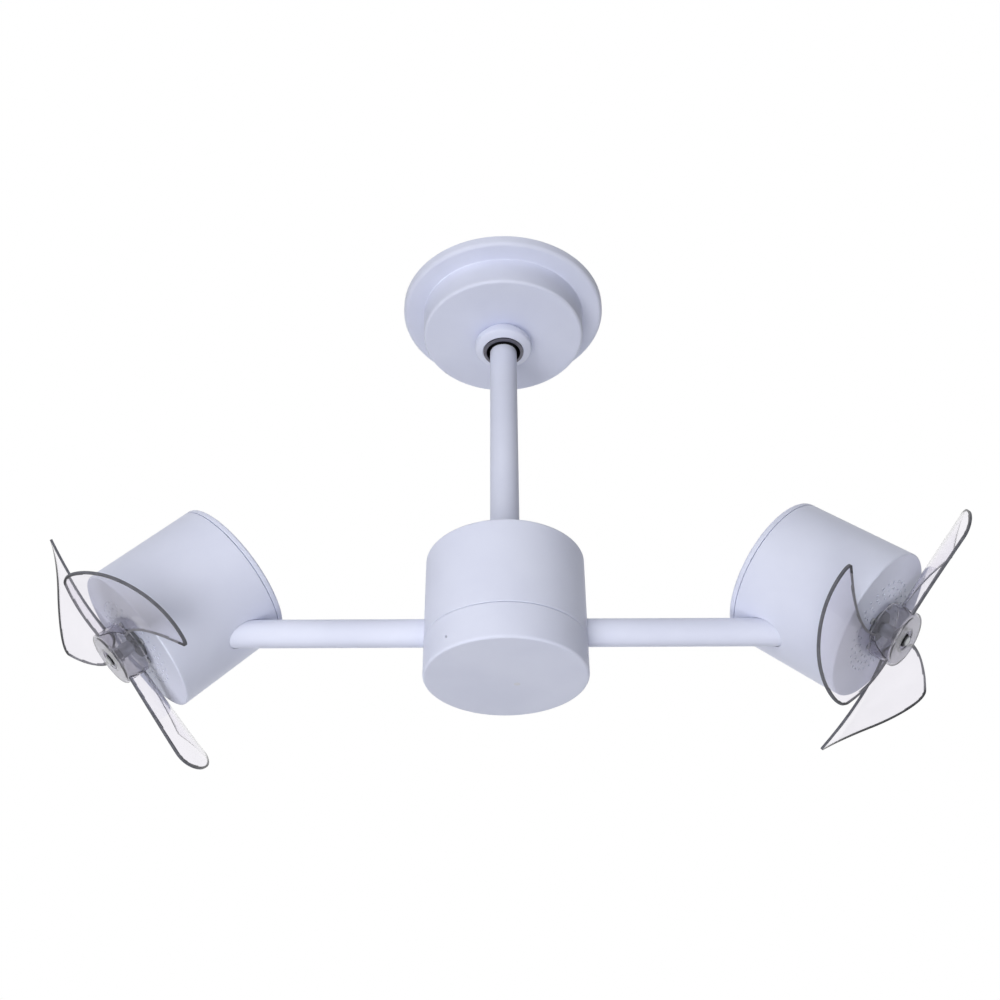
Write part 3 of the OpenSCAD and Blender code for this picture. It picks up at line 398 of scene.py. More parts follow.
def make_repeat_tree():
    tree, given, result = new_tree("repeat round an axis", [
        ("Geometry", "NodeSocketGeometry"), ("Count", "NodeSocketInt"), ("Radius", "NodeSocketFloat"),
        ("First angle", "NodeSocketFloat"), ("Material", "NodeSocketMaterial")])
    outward = add(tree, "ShaderNodeCombineXYZ", {"X": given["Radius"]})
    placed = add(tree, "GeometryNodeTransform",
                 {"Geometry": given["Geometry"], "Translation": outward.outputs[0]})
    points = add(tree, "GeometryNodePoints", {"Count": given["Count"]})
    index = add(tree, "GeometryNodeInputIndex").outputs[0]
    share = add(tree, "ShaderNodeMath", {0: 2 * math.pi, 1: given["Count"]}, operation="DIVIDE")
    angle = add(tree, "ShaderNodeMath", {0: index, 1: share.outputs[0], 2: given["First angle"]},
                operation="MULTIPLY_ADD")
    turn = add(tree, "ShaderNodeCombineXYZ", {"Z": angle.outputs[0]})
    copies = add(tree, "GeometryNodeInstanceOnPoints", {
        "Points": points.outputs[0], "Instance": placed.outputs[0], "Rotation": turn.outputs[0]})
    solid = add(tree, "GeometryNodeRealizeInstances", {"Geometry": copies.outputs[0]})
    painted = add(tree, "GeometryNodeSetMaterial",
                  {"Geometry": solid.outputs[0], "Material": given["Material"]})
    tree.links.new(painted.outputs[0], result["Geometry"])
    return tree


repeat_tree = make_repeat_tree()


def repeated(obj, count, material, radius=0.0, first=0.0):
    """Copies an object's mesh round the z axis, the first copy at an angle in degrees."""
    return use_tree(obj, repeat_tree, {"Count": count, "Radius": radius * MM,
                                       "First angle": math.radians(first), "Material": material})


def joined(name, objects):
    """Puts several meshes into the first one."""
    bm = bmesh.new()
    for obj in objects:
        bm.from_mesh(obj.data)
    first = objects[0]
    for obj in objects[1:]:
        bpy.data.objects.remove(obj)
    bm.to_mesh(first.data)
    bm.free()
    first.name = first.data.name = name
    return first


# %% [markdown]
# ## Screws
# Sheet metal fans are closed with small pan head machine screws and grub screws.
# One screw is turned, its cross recess or its hexagon socket is cut, and the
# repeat tree sets it round the axis.

# %% Screws
def pan_screw(diameter, length, finish, head=2.2):
    """A pan head screw along z: its head's underside is at zero and the recess looks up."""
    shank, r = diameter / 2, diameter * 0.92
    slot_reach, slot_depth, slot_width = diameter * 0.6, 1.0, 0.9
    screw = turned("screw", [(0, -length, 0), (shank, -length, 0.3), (shank, 0, 0), (r, 0, 0.15),
                             (r, head, 1.1), (0, head, 0)], finish, segments=48)
    for turn in (0, math.pi / 2):
        slot = turned("slot", bar(slot_reach, head - slot_depth, head + 1), finish, segments=4)
        slot.data.transform(Matrix.Rotation(turn, 4, "Z")
                            @ Matrix.Diagonal((1, slot_width / diameter, 1, 1))
                            @ Matrix.Rotation(math.pi / 4, 4, "Z"))
        combine(screw, slot, "DIFFERENCE")
    return screw


def grub_screw(diameter, length, finish):
    """A headless screw along z with a hexagon socket, its outer end at zero."""
    r, socket_r, socket_depth = diameter / 2, diameter * 0.29, length * 0.45
    screw = turned("screw", [(0, -length, 0), (r, -length, 0.3), (r, 0, 0.3), (0, 0, 0)], finish,
                   segments=48)
    socket = turned("socket", bar(socket_r, -socket_depth, 1), finish, segments=6)
    return combine(screw, socket, "DIFFERENCE")


# %% Say what a finished piece stands for
def stand_for(piece, body, node):
    """Gives a finished piece its body and hides the node that it replaces."""
    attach(piece, body)
    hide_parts(node)
    return piece


def fit(piece, body, node):
    """The same, for a piece that is also named after its node."""
    piece.name = piece.data.name = node + "_dressed"
    return stand_for(piece, body, node)


# %% [markdown]
# ## Canopy, lock ring and nipple
# The canopy is spun from sheet: a flange with a soft rim, and a cup that narrows
# a little towards its face. A threaded nipple of dull nickel comes through the
# face, and a white ring screws on it and holds the canopy up. The ring has a
# narrow neck against the canopy and a wider flange below, which is what a hand
# takes hold of. The gap inside the nipple is the room in which the rod swings.

# %% Canopy parts
SHEET = 1.6
FLANGE_R, FLANGE_H, RIM_TOP = 102.0, 10.5, -0.02
CUP_R, CUP_DRAFT, CUP_FACE = 81.5, 0.8, -40.2
CUP_INSIDE = CUP_FACE + SHEET
NIPPLE_R, NIPPLE_BORE, NIPPLE_END = 20.0, 16.85, -59.6
NIPPLE_FLANGE_R, NIPPLE_FLANGE_H = 25.0, 2.5
NECK_R, NECK_END = 22.8, -47.3
RING_R, RING_FACE = 28.4, -54.6

canopy = turned("canopy_spun", [
    (NIPPLE_R + 0.2, CUP_FACE, 0.5), (CUP_R - CUP_DRAFT, CUP_FACE, 3.0), (CUP_R, -FLANGE_H, 1.0),
    (FLANGE_R, -FLANGE_H, 4.0), (FLANGE_R, RIM_TOP, 0.3), (FLANGE_R - SHEET, RIM_TOP, 0.3),
    (FLANGE_R - SHEET, SHEET - FLANGE_H, 2.4), (CUP_R - SHEET, SHEET - FLANGE_H, 0.6),
    (CUP_R - CUP_DRAFT - SHEET, CUP_INSIDE, 1.5), (NIPPLE_R + 0.2, CUP_INSIDE, 0.3),
], powder_coat, segments=256)
lock_ring = turned("lock_ring_turned", [
    (NIPPLE_R + 0.05, CUP_FACE, 0), (NECK_R, CUP_FACE, 0.3), (NECK_R, NECK_END, 2.2),
    (RING_R, NECK_END, 1.0), (RING_R, RING_FACE, 2.6), (NIPPLE_R + 1.0, RING_FACE - 3.2, 0.5),
    (NIPPLE_R + 0.15, RING_FACE - 2.6, 0.2),
], powder_coat)
nipple = turned("nipple_turned", [
    (NIPPLE_BORE, CUP_INSIDE + NIPPLE_FLANGE_H, 0.3), (NIPPLE_FLANGE_R, CUP_INSIDE + NIPPLE_FLANGE_H, 0.3),
    (NIPPLE_FLANGE_R, CUP_INSIDE, 0.3), (NIPPLE_R, CUP_INSIDE, 0), (NIPPLE_R, NIPPLE_END, 0.8),
    (NIPPLE_BORE, NIPPLE_END, 0.5),
], dull_nickel)
stand_for(canopy, "ceiling_mount", "canopy")
stand_for(lock_ring, "ceiling_mount", "canopy_lock_ring")
stand_for(nipple, "ceiling_mount", "canopy_nipple")

# %% [markdown]
# ## The rod
# The rod is plain tube. Its top, which stands inside the nipple, is coloured
# black as painted shade, so the gap round the rod looks dark from below.

# %% Rod
ROD_R, ROD_BORE, ROD_TOP, ROD_END = 13.35, 10.45, -6.5, -324.8

rod = turned("rod_tube", [
    (ROD_BORE, ROD_TOP, 0.3), (ROD_R, ROD_TOP, 0.5), (ROD_R, NIPPLE_END, 0), (ROD_R, ROD_END, 0.5),
    (ROD_BORE, ROD_END, 0.3),
], powder_coat)
# painted shade: the rod's outside above the nipple's end is coloured black for the shade inside the nipple,
# not for a real black part
rod.data.materials.append(black_plastic_and_painted_shade)
for face in rod.data.polygons:
    outside = face.center.xy.length > (ROD_R + ROD_BORE) / 2 * MM
    face.material_index = 1 if outside and face.center.z > NIPPLE_END * MM else 0
stand_for(rod, "hanging_rod", "down_rod")

# %% [markdown]
# ## The drum
# The drum is a tall upper cup and a shallow lower cap. The narrow seam between
# them is level with the arms' lower edge, and the cap's lip stands behind it. A
# Boolean cuts the arms' holes, as the maker's saw does. They lie nearly whole in
# the upper cup, and their lowest part takes a bite from the cap and its lip. The
# cap also gets the holes for its side screws and for the receiver's lens in its
# face.

# %% Drum
DRUM_R, DRUM_WALL, DRUM_TOP, DRUM_BOTTOM = 70.0, 2.0, -312.8, -427.9
DRUM_INSIDE = DRUM_R - DRUM_WALL
DRUM_SEAM, SEAM_HALF = -395.0, 0.35
STEP_R, STEP_DEPTH = 68.6, 1.4
LIP_R, LIP_WALL, LIP_H, LIP_FOOT = 67.85, 1.5, 5.0, 5.6
ROD_HOLE_R = 14.25
ARM_R, ARM_GAP = 12.2, 0.4
LENS_PLACE, LENS_HOLE_R = Matrix.Translation((9.3, 9.5, DRUM_BOTTOM)), 2.85
CAP_SCREWS, CAP_SCREW_D, CAP_SCREW_ANGLE, CAP_SCREW_Z = 3, 3.0, 226, ARM_Z - 32
SHELL_SCREWS, SHELL_SCREW_D, SHELL_SCREW_R, SHELL_SCREW_ANGLE = 3, 3.8, 24.5, 30


def arm_cutter():
    across = Matrix.Translation((0, 0, ARM_Z)) @ ALONG_X
    return turned("cutter", bar(ARM_R + ARM_GAP, -DRUM_R - 20, DRUM_R + 20), powder_coat, across)


drum_shell = turned("drum_upper", [
    (ROD_HOLE_R, DRUM_TOP, 0.4), (DRUM_R, DRUM_TOP, 2.5), (DRUM_R, DRUM_SEAM + SEAM_HALF, 1.1),
    (DRUM_INSIDE, DRUM_SEAM + SEAM_HALF, 0.2), (DRUM_INSIDE, DRUM_TOP - DRUM_WALL, 0.5),
    (ROD_HOLE_R, DRUM_TOP - DRUM_WALL, 0.3),
], powder_coat, segments=256)
drum_cap = turned("drum_lower", [
    (0, DRUM_BOTTOM, 0), (DRUM_R, DRUM_BOTTOM, 2.5), (DRUM_R, DRUM_SEAM - SEAM_HALF, 0.3),
    (STEP_R, DRUM_SEAM - SEAM_HALF, 0), (STEP_R, DRUM_SEAM - STEP_DEPTH, 0),
    (LIP_R, DRUM_SEAM - STEP_DEPTH, 0), (LIP_R, DRUM_SEAM + LIP_H, 0.2),
    (LIP_R - LIP_WALL, DRUM_SEAM + LIP_H, 0.2), (LIP_R - LIP_WALL, DRUM_SEAM - LIP_H, 0),
    (DRUM_INSIDE, DRUM_SEAM - LIP_FOOT, 0),
    (DRUM_INSIDE, DRUM_BOTTOM + DRUM_WALL, 0.5), (0, DRUM_BOTTOM + DRUM_WALL, 0),
], powder_coat, segments=256)
combine(drum_shell, arm_cutter(), "DIFFERENCE")
side_hole = turned("hole", bar(CAP_SCREW_D / 2 + 0.1, DRUM_R - 4, DRUM_R + 2), powder_coat, ALONG_X, 48)
side_holes = moved(repeated(side_hole, CAP_SCREWS, powder_coat, first=CAP_SCREW_ANGLE),
                   Matrix.Translation((0, 0, CAP_SCREW_Z)))
lens_hole = turned("hole", bar(LENS_HOLE_R, -1, DRUM_WALL + 1), powder_coat, LENS_PLACE, 64)
combine(drum_cap, joined("cutters", [arm_cutter(), side_holes, lens_hole]), "DIFFERENCE")
stand_for(drum_shell, "carousel", "drum_shell")
stand_for(drum_cap, "carousel", "drum_cap")

# %% The drum's screws
top_screws = repeated(pan_screw(SHELL_SCREW_D, length=12, finish=screw_paint), SHELL_SCREWS, screw_paint,
                      SHELL_SCREW_R, SHELL_SCREW_ANGLE)
fit(moved(top_screws, Matrix.Translation((0, 0, DRUM_TOP))),
    "carousel", "drum_shell_screws")
side_screw = moved(grub_screw(CAP_SCREW_D, length=6, finish=screw_paint), ALONG_X)
side_screws = repeated(side_screw, CAP_SCREWS, screw_paint, DRUM_R - 0.3, CAP_SCREW_ANGLE)
fit(moved(side_screws, Matrix.Translation((0, 0, CAP_SCREW_Z))),
    "carousel", "cap_screws")

# %% [markdown]
# ## The arms
# The arms are tube too. Each starts in the hub's socket inside the drum and ends
# inside its head, so neither end is seen.

# %% Arms
ARM_BORE, ARM_START, ARM_END = 10.5, 33.0, -79.5

for side in SIDES:
    inner_end = ARM_START - HEAD_REACH
    arm = turned(f"{side}_arm_tube", [
        (ARM_BORE, inner_end, 0), (ARM_R, inner_end, 0.3), (ARM_R, ARM_END, 0.3), (ARM_BORE, ARM_END, 0),
    ], powder_coat, arm_frame(side))
    stand_for(arm, "carousel", f"{side}_arm")

# %% [markdown]
# ## Motor heads
# Each head is a drum on its side: a shell, a rear cap behind a thin seam and a
# flat front plate. The plate's vent holes are laid out in rings by the same
# repeat tree and then cut.

# %% Head sizes
HEAD_R, HEAD_WALL = 68.0, 2.0
HEAD_INSIDE = HEAD_R - HEAD_WALL
HEAD_FRONT, HEAD_REAR = 2.2, -103.3
HEAD_SEAM_REAR, HEAD_SEAM_FRONT = -98.0, -97.3
PLATE_BACK, PLATE_BORE = -0.8, 14.2
SPIGOT_R, SPIGOT_WALL, SPIGOT_H = 65.85, 1.8, 4.6
REAR_SCREWS, REAR_SCREW_R, REAR_SCREW_ANGLE = 3, 59.5, 60
MOTOR_SCREWS, MOTOR_SCREW_R, MOTOR_SCREW_ANGLE = 4, 19.0, 45
SCREW_D, REAR_HOLE_R, MOTOR_HOLE_R = 3.2, 2.0, 2.2
# from where to where a cutter reaches, so that it goes right through
PLATE_CUT, REAR_CUT = (-6, 6), (-110, -90)
VENT_RINGS = [29.0 + 6.5 * j for j in range(3)]
VENT_D, VENT_PITCH = 2.8, 8.6


# %% Perforated front plate
def vent_cutter():
    rings, total = [], 0
    for j, radius in enumerate(VENT_RINGS):
        count = math.floor(2 * math.pi * radius / VENT_PITCH)
        hole = turned("hole", bar(VENT_D / 2, *PLATE_CUT), powder_coat, segments=24)
        rings.append(repeated(hole, count, powder_coat, radius, j / 2 * 360 / count))
        total += count
    print("vent holes:", total)
    return joined("vents", rings)


def make_plate(side):
    plate = turned(f"{side}_front_disc", [
        (PLATE_BORE, PLATE_BACK, 0), (PLATE_BORE, HEAD_FRONT, 0.3), (HEAD_R, HEAD_FRONT, 2.5),
        (HEAD_R, PLATE_BACK, 0),
    ], powder_coat, segments=256)
    combine(plate, vent_cutter(), "DIFFERENCE")
    hole = turned("hole", bar(MOTOR_HOLE_R, *PLATE_CUT), powder_coat, segments=32)
    holes = repeated(hole, MOTOR_SCREWS, powder_coat, MOTOR_SCREW_R, MOTOR_SCREW_ANGLE)
    return combine(plate, holes, "DIFFERENCE")


# %% Shell and rear cap
def make_shell(side):
    """The shell in its place, with the hole in which the head turns on its arm."""
    place = head_frame(side)
    shell = turned(f"{side}_head_drum", [
        (HEAD_INSIDE, PLATE_BACK, 0), (HEAD_R, PLATE_BACK, 0), (HEAD_R, HEAD_SEAM_FRONT, 0.3),
        (HEAD_INSIDE, HEAD_SEAM_FRONT, 0.2),
    ], powder_coat, place, segments=256)
    along_arm = (place @ Matrix.Translation((0, -HEAD_OFFSET, 0))
                 @ Matrix.Rotation(math.radians(HEAD_SLANT), 4, "Y"))
    cutter = turned("cutter", bar(ARM_R + ARM_GAP, 2 * ARM_END - 1, ARM_END + 0.2), powder_coat, along_arm)
    return combine(shell, cutter, "DIFFERENCE")


def make_rear_cap(side):
    cap = turned(f"{side}_rear_disc", [
        (0, HEAD_REAR, 0), (HEAD_R, HEAD_REAR, 2.5), (HEAD_R, HEAD_SEAM_REAR, 0.3),
        (SPIGOT_R, HEAD_SEAM_REAR, 0), (SPIGOT_R, HEAD_SEAM_REAR + SPIGOT_H, 0.3),
        (SPIGOT_R - SPIGOT_WALL, HEAD_SEAM_REAR + SPIGOT_H, 0.3),
        (SPIGOT_R - SPIGOT_WALL, HEAD_SEAM_REAR, 0), (0, HEAD_SEAM_REAR, 0),
    ], powder_coat, segments=256)
    hole = turned("hole", bar(REAR_HOLE_R, *REAR_CUT), powder_coat, segments=32)
    holes = repeated(hole, REAR_SCREWS, powder_coat, REAR_SCREW_R, REAR_SCREW_ANGLE)
    return combine(cap, holes, "DIFFERENCE")


# %% Heads
for side in SIDES:
    place = head_frame(side)
    shell = make_shell(side)
    plate = moved(make_plate(side), place)
    cap = moved(make_rear_cap(side), place)
    for piece, node in ((shell, "head_shell"), (plate, "front_plate"), (cap, "rear_cap")):
        stand_for(piece, f"{side}_head", f"{side}_{node}")
    rear_screws = repeated(pan_screw(SCREW_D, length=16, finish=screw_paint), REAR_SCREWS, screw_paint,
                           REAR_SCREW_R, -REAR_SCREW_ANGLE)
    backwards = Matrix.Translation((0, 0, HEAD_REAR)) @ Matrix.Rotation(math.pi, 4, "X")
    fit(moved(moved(rear_screws, backwards), place),
        f"{side}_head", f"{side}_rear_cap_screws")
    motor_screws = repeated(pan_screw(SCREW_D, length=7, finish=ground_steel), MOTOR_SCREWS, ground_steel,
                            MOTOR_SCREW_R, MOTOR_SCREW_ANGLE)
    fit(moved(moved(motor_screws, Matrix.Translation((0, 0, HEAD_FRONT))), place),
        f"{side}_head", f"{side}_motor_screws")

# %% [markdown]
# ## Propellers
# A propeller is one moulding: a cup-shaped hub and three swept blades. A blade's
# surface follows a rule, so Geometry Nodes bend a flat grid by that rule: x runs
# across the blade from its trailing edge to its leading edge, y from the hub to
# the tip. The rule is a list of small sums. Each entry has the name of its
# result, the Math node's operation and its two values, which are numbers, named
# inputs of the tree or earlier results.

# %% The blade's rule
PROP_R, BLADE_ROOT, BLADE_T = 124.5, 23.9, 2.2
BLADE_RULE = [
    # u: the place across the blade, with close rows at both edges
    ("half_turn", "MULTIPLY", "x", math.pi), ("cosine", "COSINE", "half_turn", 0.0),
    ("low", "SUBTRACT", 1.0, "cosine"), ("u", "DIVIDE", "low", 2.0), ("rest", "SUBTRACT", 1.0, "u"),
    # the wide rounded trailing corner: a quarter ellipse over the first 38 percent
    ("tail_a", "DIVIDE", "u", 0.38), ("tail_b", "SUBTRACT", 1.0, "tail_a"),
    ("tail_c", "MAXIMUM", "tail_b", 0.0), ("tail_d", "MULTIPLY", "tail_c", "tail_c"),
    ("tail_e", "SUBTRACT", 1.0, "tail_d"), ("tail_f", "SQRT", "tail_e", 0.0),
    ("tail_g", "SUBTRACT", 1.0, "tail_f"), ("tail", "MULTIPLY", "tail_g", "Trailing corner"),
    # the small rounded leading corner: a quarter ellipse over the last 7 percent
    ("nose_a", "SUBTRACT", "u", 0.93), ("nose_b", "DIVIDE", "nose_a", 0.07),
    ("nose_c", "MAXIMUM", "nose_b", 0.0), ("nose_d", "MULTIPLY", "nose_c", "nose_c"),
    ("nose_e", "SUBTRACT", 1.0, "nose_d"), ("nose_s", "MAXIMUM", "nose_e", 0.0),
    ("nose_f", "SQRT", "nose_s", 0.0), ("nose_g", "SUBTRACT", 1.0, "nose_f"),
    ("nose", "MULTIPLY", "nose_g", "Leading corner"),
    # r: the distance from the axis, and f: its share of the blade's span
    ("tip_a", "SUBTRACT", "Tip radius", "tail"), ("tip", "SUBTRACT", "tip_a", "nose"),
    ("span", "SUBTRACT", "tip", "Root radius"), ("out", "MULTIPLY", "span", "y"),
    ("r", "ADD", "Root radius", "out"), ("base", "DIVIDE", "Tip radius", 10.0),
    ("above", "SUBTRACT", "r", "base"), ("whole", "SUBTRACT", "Tip radius", "base"),
    ("f", "DIVIDE", "above", "whole"),
    # turn: the angle round the axis, from the trailing edge's sweep and the blade's width
    ("trail_a", "MULTIPLY", "f", -0.45), ("trail_b", "ADD", "trail_a", 1.45),
    ("trail_c", "MULTIPLY", "f", "trail_b"), ("trail", "MULTIPLY", "trail_c", "Trailing sweep"),
    ("grow_a", "MULTIPLY", "f", -0.2), ("grow_b", "ADD", "grow_a", 1.2),
    ("grow", "MULTIPLY", "f", "grow_b"),
    ("wide_a", "SUBTRACT", "Tip sweep", "Root sweep"), ("wide_b", "MULTIPLY", "wide_a", "grow"),
    ("wide", "ADD", "Root sweep", "wide_b"), ("part", "MULTIPLY", "wide", "u"),
    ("turn_a", "ADD", "trail", "part"), ("turn", "MULTIPLY", "turn_a", -1.0),
    ("cos_turn", "COSINE", "turn", 0.0), ("sin_turn", "SINE", "turn", 0.0),
    ("X", "MULTIPLY", "r", "cos_turn"), ("Y", "MULTIPLY", "r", "sin_turn"),
    # Z: the height along the axis, from the middle line, the pitch and the hollow
    ("pitch_a", "SUBTRACT", "Tip rise", "Root rise"), ("pitch_b", "MULTIPLY", "pitch_a", "f"),
    ("pitch_c", "ADD", "Root rise", "pitch_b"), ("back", "SUBTRACT", 0.5, "u"),
    ("pitch", "MULTIPLY", "pitch_c", "back"),
    ("deep_a", "SUBTRACT", "Tip hollow", "Root hollow"), ("deep_b", "MULTIPLY", "deep_a", "f"),
    ("deep", "ADD", "Root hollow", "deep_b"), ("bow_a", "MULTIPLY", "u", "rest"),
    ("bow_b", "MULTIPLY", "bow_a", 4.0), ("bow", "MULTIPLY", "deep", "bow_b"),
    ("mid_a", "MULTIPLY", "f", -0.008), ("mid_b", "ADD", "mid_a", 0.0085),
    ("mid_c", "MULTIPLY", "mid_b", "f"), ("mid", "ADD", "mid_c", "Middle height"),
    ("high", "ADD", "mid", "pitch"), ("Z", "SUBTRACT", "high", "bow"),
]
BLADE_SIZES = {
    "Tip radius": PROP_R * MM, "Root radius": BLADE_ROOT * MM,
    "Trailing corner": 26 * MM, "Leading corner": 4 * MM,
    "Trailing sweep": math.radians(25.7), "Root sweep": math.radians(42), "Tip sweep": math.radians(54.3),
    "Root rise": 14.5 * MM, "Tip rise": 37 * MM, "Root hollow": 2 * MM, "Tip hollow": 13.4 * MM,
    "Middle height": 18.5 * MM, "Edge band": 1.9 * MM,
}

# %% [markdown]
# The same tree paints painted shade on the blade's free edge. A proximity node measures how far
# each face is from the grid's open rim, apart from the root, and the faces in a
# narrow band get the edges' finishes: one for the sides and one for the tip.

# %% The blade's tree
# how far out along the blade the tip's finish starts, as a share
TIP_FROM = 0.93
# how many millimetres beyond the root's radius an edge has to lie to count as free
ROOT_MARGIN = 0.3


def make_blade_tree():
    inputs = [("Geometry", "NodeSocketGeometry")]
    inputs += [(name, "NodeSocketFloat") for name in BLADE_SIZES]
    inputs += [(name, "NodeSocketMaterial") for name in ("Material", "Side edge", "Tip edge")]
    tree, given, result = new_tree("swept blade", inputs)
    split = add(tree, "ShaderNodeSeparateXYZ", {0: add(tree, "GeometryNodeInputPosition").outputs[0]})
    known = {"x": split.outputs["X"], "y": split.outputs["Y"]}
    for name, operation, *values in BLADE_RULE:
        sources = {}
        for i, value in enumerate(values):
            if isinstance(value, str):
                value = known[value] if value in known else given[value]
            sources[i] = value
        known[name] = add(tree, "ShaderNodeMath", sources, operation=operation).outputs[0]
    bent = add(tree, "ShaderNodeCombineXYZ", {axis: known[axis] for axis in "XYZ"})
    flat = add(tree, "GeometryNodeStoreNamedAttribute",
               {"Geometry": given["Geometry"], "Name": "along", "Value": split.outputs["Y"]})
    shaped = add(tree, "GeometryNodeSetPosition",
                 {"Geometry": flat.outputs[0], "Position": bent.outputs[0]})
    # a free edge has one face only and lies further out than the root
    sides = add(tree, "GeometryNodeInputMeshEdgeNeighbors").outputs[0]
    single = add(tree, "ShaderNodeMath", {0: sides, 1: 1.5}, operation="LESS_THAN")
    here = add(tree, "GeometryNodeInputPosition").outputs[0]
    level = add(tree, "ShaderNodeVectorMath", {0: here, 1: (1, 1, 0)}, operation="MULTIPLY")
    radius = add(tree, "ShaderNodeVectorMath", {0: level.outputs[0]}, operation="LENGTH").outputs["Value"]
    root = add(tree, "ShaderNodeMath", {0: given["Root radius"], 1: ROOT_MARGIN * MM}, operation="ADD")
    beyond = add(tree, "ShaderNodeMath", {0: radius, 1: root.outputs[0]}, operation="GREATER_THAN")
    free = add(tree, "ShaderNodeMath", {0: single.outputs[0], 1: beyond.outputs[0]}, operation="MULTIPLY")
    rim = add(tree, "GeometryNodeSeparateGeometry",
              {"Geometry": shaped.outputs[0], "Selection": free.outputs[0]}, domain="EDGE")
    near = add(tree, "GeometryNodeProximity", {0: rim.outputs[0]}, target_element="EDGES")
    band = add(tree, "ShaderNodeMath", {0: near.outputs["Distance"], 1: given["Edge band"]},
               operation="LESS_THAN")
    along = add(tree, "GeometryNodeInputNamedAttribute", {"Name": "along"}, data_type="FLOAT")
    outer = add(tree, "ShaderNodeMath", {0: along.outputs["Attribute"], 1: TIP_FROM},
                operation="GREATER_THAN")
    tip_band = add(tree, "ShaderNodeMath", {0: band.outputs[0], 1: outer.outputs[0]}, operation="MULTIPLY")
    painted = add(tree, "GeometryNodeSetMaterial",
                  {"Geometry": shaped.outputs[0], "Material": given["Material"]})
    for place, label in ((band, "Side edge"), (tip_band, "Tip edge")):
        painted = add(tree, "GeometryNodeSetMaterial", {
            "Geometry": painted.outputs[0], "Selection": place.outputs[0], "Material": given[label]})
    tree.links.new(painted.outputs[0], result["Geometry"])
    return tree


blade_tree = make_blade_tree()

# %% [markdown]
# The bent grid gets its thickness from Solidify and its rounded rims from Bevel.
# Both number their finish by its place in the blade's list of materials, which
# is the sheet, the thin edge, the rounded edge and the flat edge.

# %% One blade, then three
BLADES, ACROSS, ALONG = 3, 48, 40
ROUND_SLOT, FLAT_SLOT = 2, 3
EDGE_FINISHES = (thin_edge, thick_edge, flat_edge)
RIM_ROUND, RIM_STEPS, RIM_ANGLE = 0.6, 3, math.radians(60)


def flat_grid(name):
    """A grid over the unit square, with its rows closer together towards the tip."""
    bm = bmesh.new()
    rows = [[bm.verts.new((i / ACROSS, math.sin(math.pi / 2 * j / ALONG), 0)) for i in range(ACROSS + 1)]
            for j in range(ALONG + 1)]
    for low, high in zip(rows, rows[1:]):
        for i in range(ACROSS):
            bm.faces.new((low[i], low[i + 1], high[i + 1], high[i]))
    return plain_object(name, bm, clear_plastic)


def make_blade():
    blade = use_tree(flat_grid("blade"), blade_tree, {
        **BLADE_SIZES, "Material": clear_plastic, "Side edge": thin_edge, "Tip edge": thick_edge})
    # Solidify counts its rim's finish from the face beside it, so three slots hold the same one
    for _ in range(3):
        blade.data.materials.append(flat_edge)
    wall = blade.modifiers.new("wall", "SOLIDIFY")
    wall.thickness, wall.offset, wall.material_offset_rim = BLADE_T * MM, 0.0, FLAT_SLOT
    settle(blade)
    rim = blade.modifiers.new("rim", "BEVEL")
    rim.width, rim.segments, rim.material = RIM_ROUND * MM, RIM_STEPS, ROUND_SLOT
    rim.limit_method, rim.angle_limit = "ANGLE", RIM_ANGLE
    return settle(blade)


def make_blades():
    """Three blades, each with its edges' finishes kept."""
    blade = make_blade()
    finish_of_face = [min(face.material_index, FLAT_SLOT) for face in blade.data.polygons]
    blades = repeated(blade, BLADES, clear_plastic)
    for finish in EDGE_FINISHES:
        blades.data.materials.append(finish)
    blades.data.polygons.foreach_set("material_index", finish_of_face * BLADES)
    return blades


# %% [markdown]
# The hub is a cup with its floor in front. A boss in the middle of the floor
# sits on the shaft, its back end rests on the collar, and the nut lies in a round
# pocket in front.

# %% The whole moulding
HUB_R, HUB_WALL, HUB_BACK, HUB_FRONT = 25.0, 2.2, 7.5, 29.5
HUB_FLOOR = HUB_FRONT - HUB_WALL
SHAFT_R, SHAFT_BORE = 4.0, 4.05
POCKET_R, NUT_SEAT = 9.0, 25.5
BOSS_R, COLLAR_SEAT = 7.5, 19.5
POCKET_WALL_R, POCKET_WALL_BACK = 11.0, 23.5


def make_propeller(side):
    hub = turned(f"{side}_propeller_moulding", [
        (HUB_R - HUB_WALL, HUB_BACK, 0.5), (HUB_R, HUB_BACK, 0.8), (HUB_R, HUB_FRONT, 2.5),
        (POCKET_R, HUB_FRONT, 0.8), (POCKET_R, NUT_SEAT, 0.5), (SHAFT_BORE, NUT_SEAT, 0.2),
        (SHAFT_BORE, COLLAR_SEAT, 0.2), (BOSS_R, COLLAR_SEAT, 0.8), (BOSS_R, POCKET_WALL_BACK, 0.6),
        (POCKET_WALL_R, POCKET_WALL_BACK, 0.6), (POCKET_WALL_R, HUB_FLOOR, 0.5),
        (HUB_R - HUB_WALL, HUB_FLOOR, 1.0),
    ], hub_plastic, segments=128)
    combine(hub, make_blades(), "UNION")
    return moved(hub, head_frame(side) @ Matrix.Rotation(math.radians(TURN[side]), 4, "Z"))


for side in SIDES:
    propeller = fit(make_propeller(side), f"{side}_propeller", f"{side}_propeller")
    print(propeller.name, len(propeller.data.polygons), "faces")

# %% [markdown]
# ## Shaft, collar and nut
# The propeller sits on the motor's shaft between a silver collar, which a set
# screw holds, and a black nut. All three show through the clear hub, so they get
# their chamfers, the set screw's hole and the nut's turned corners.

# %% Shaft, collar and nut
SHAFT_BACK, SHAFT_FRONT = -47.8, HUB_FRONT + 1.5
COLLAR_R, COLLAR_BACK, SET_SCREW_R = 6.0, 8.0, 1.5
NUT_ACROSS, NUT_FRONT = 10.0, 29.5


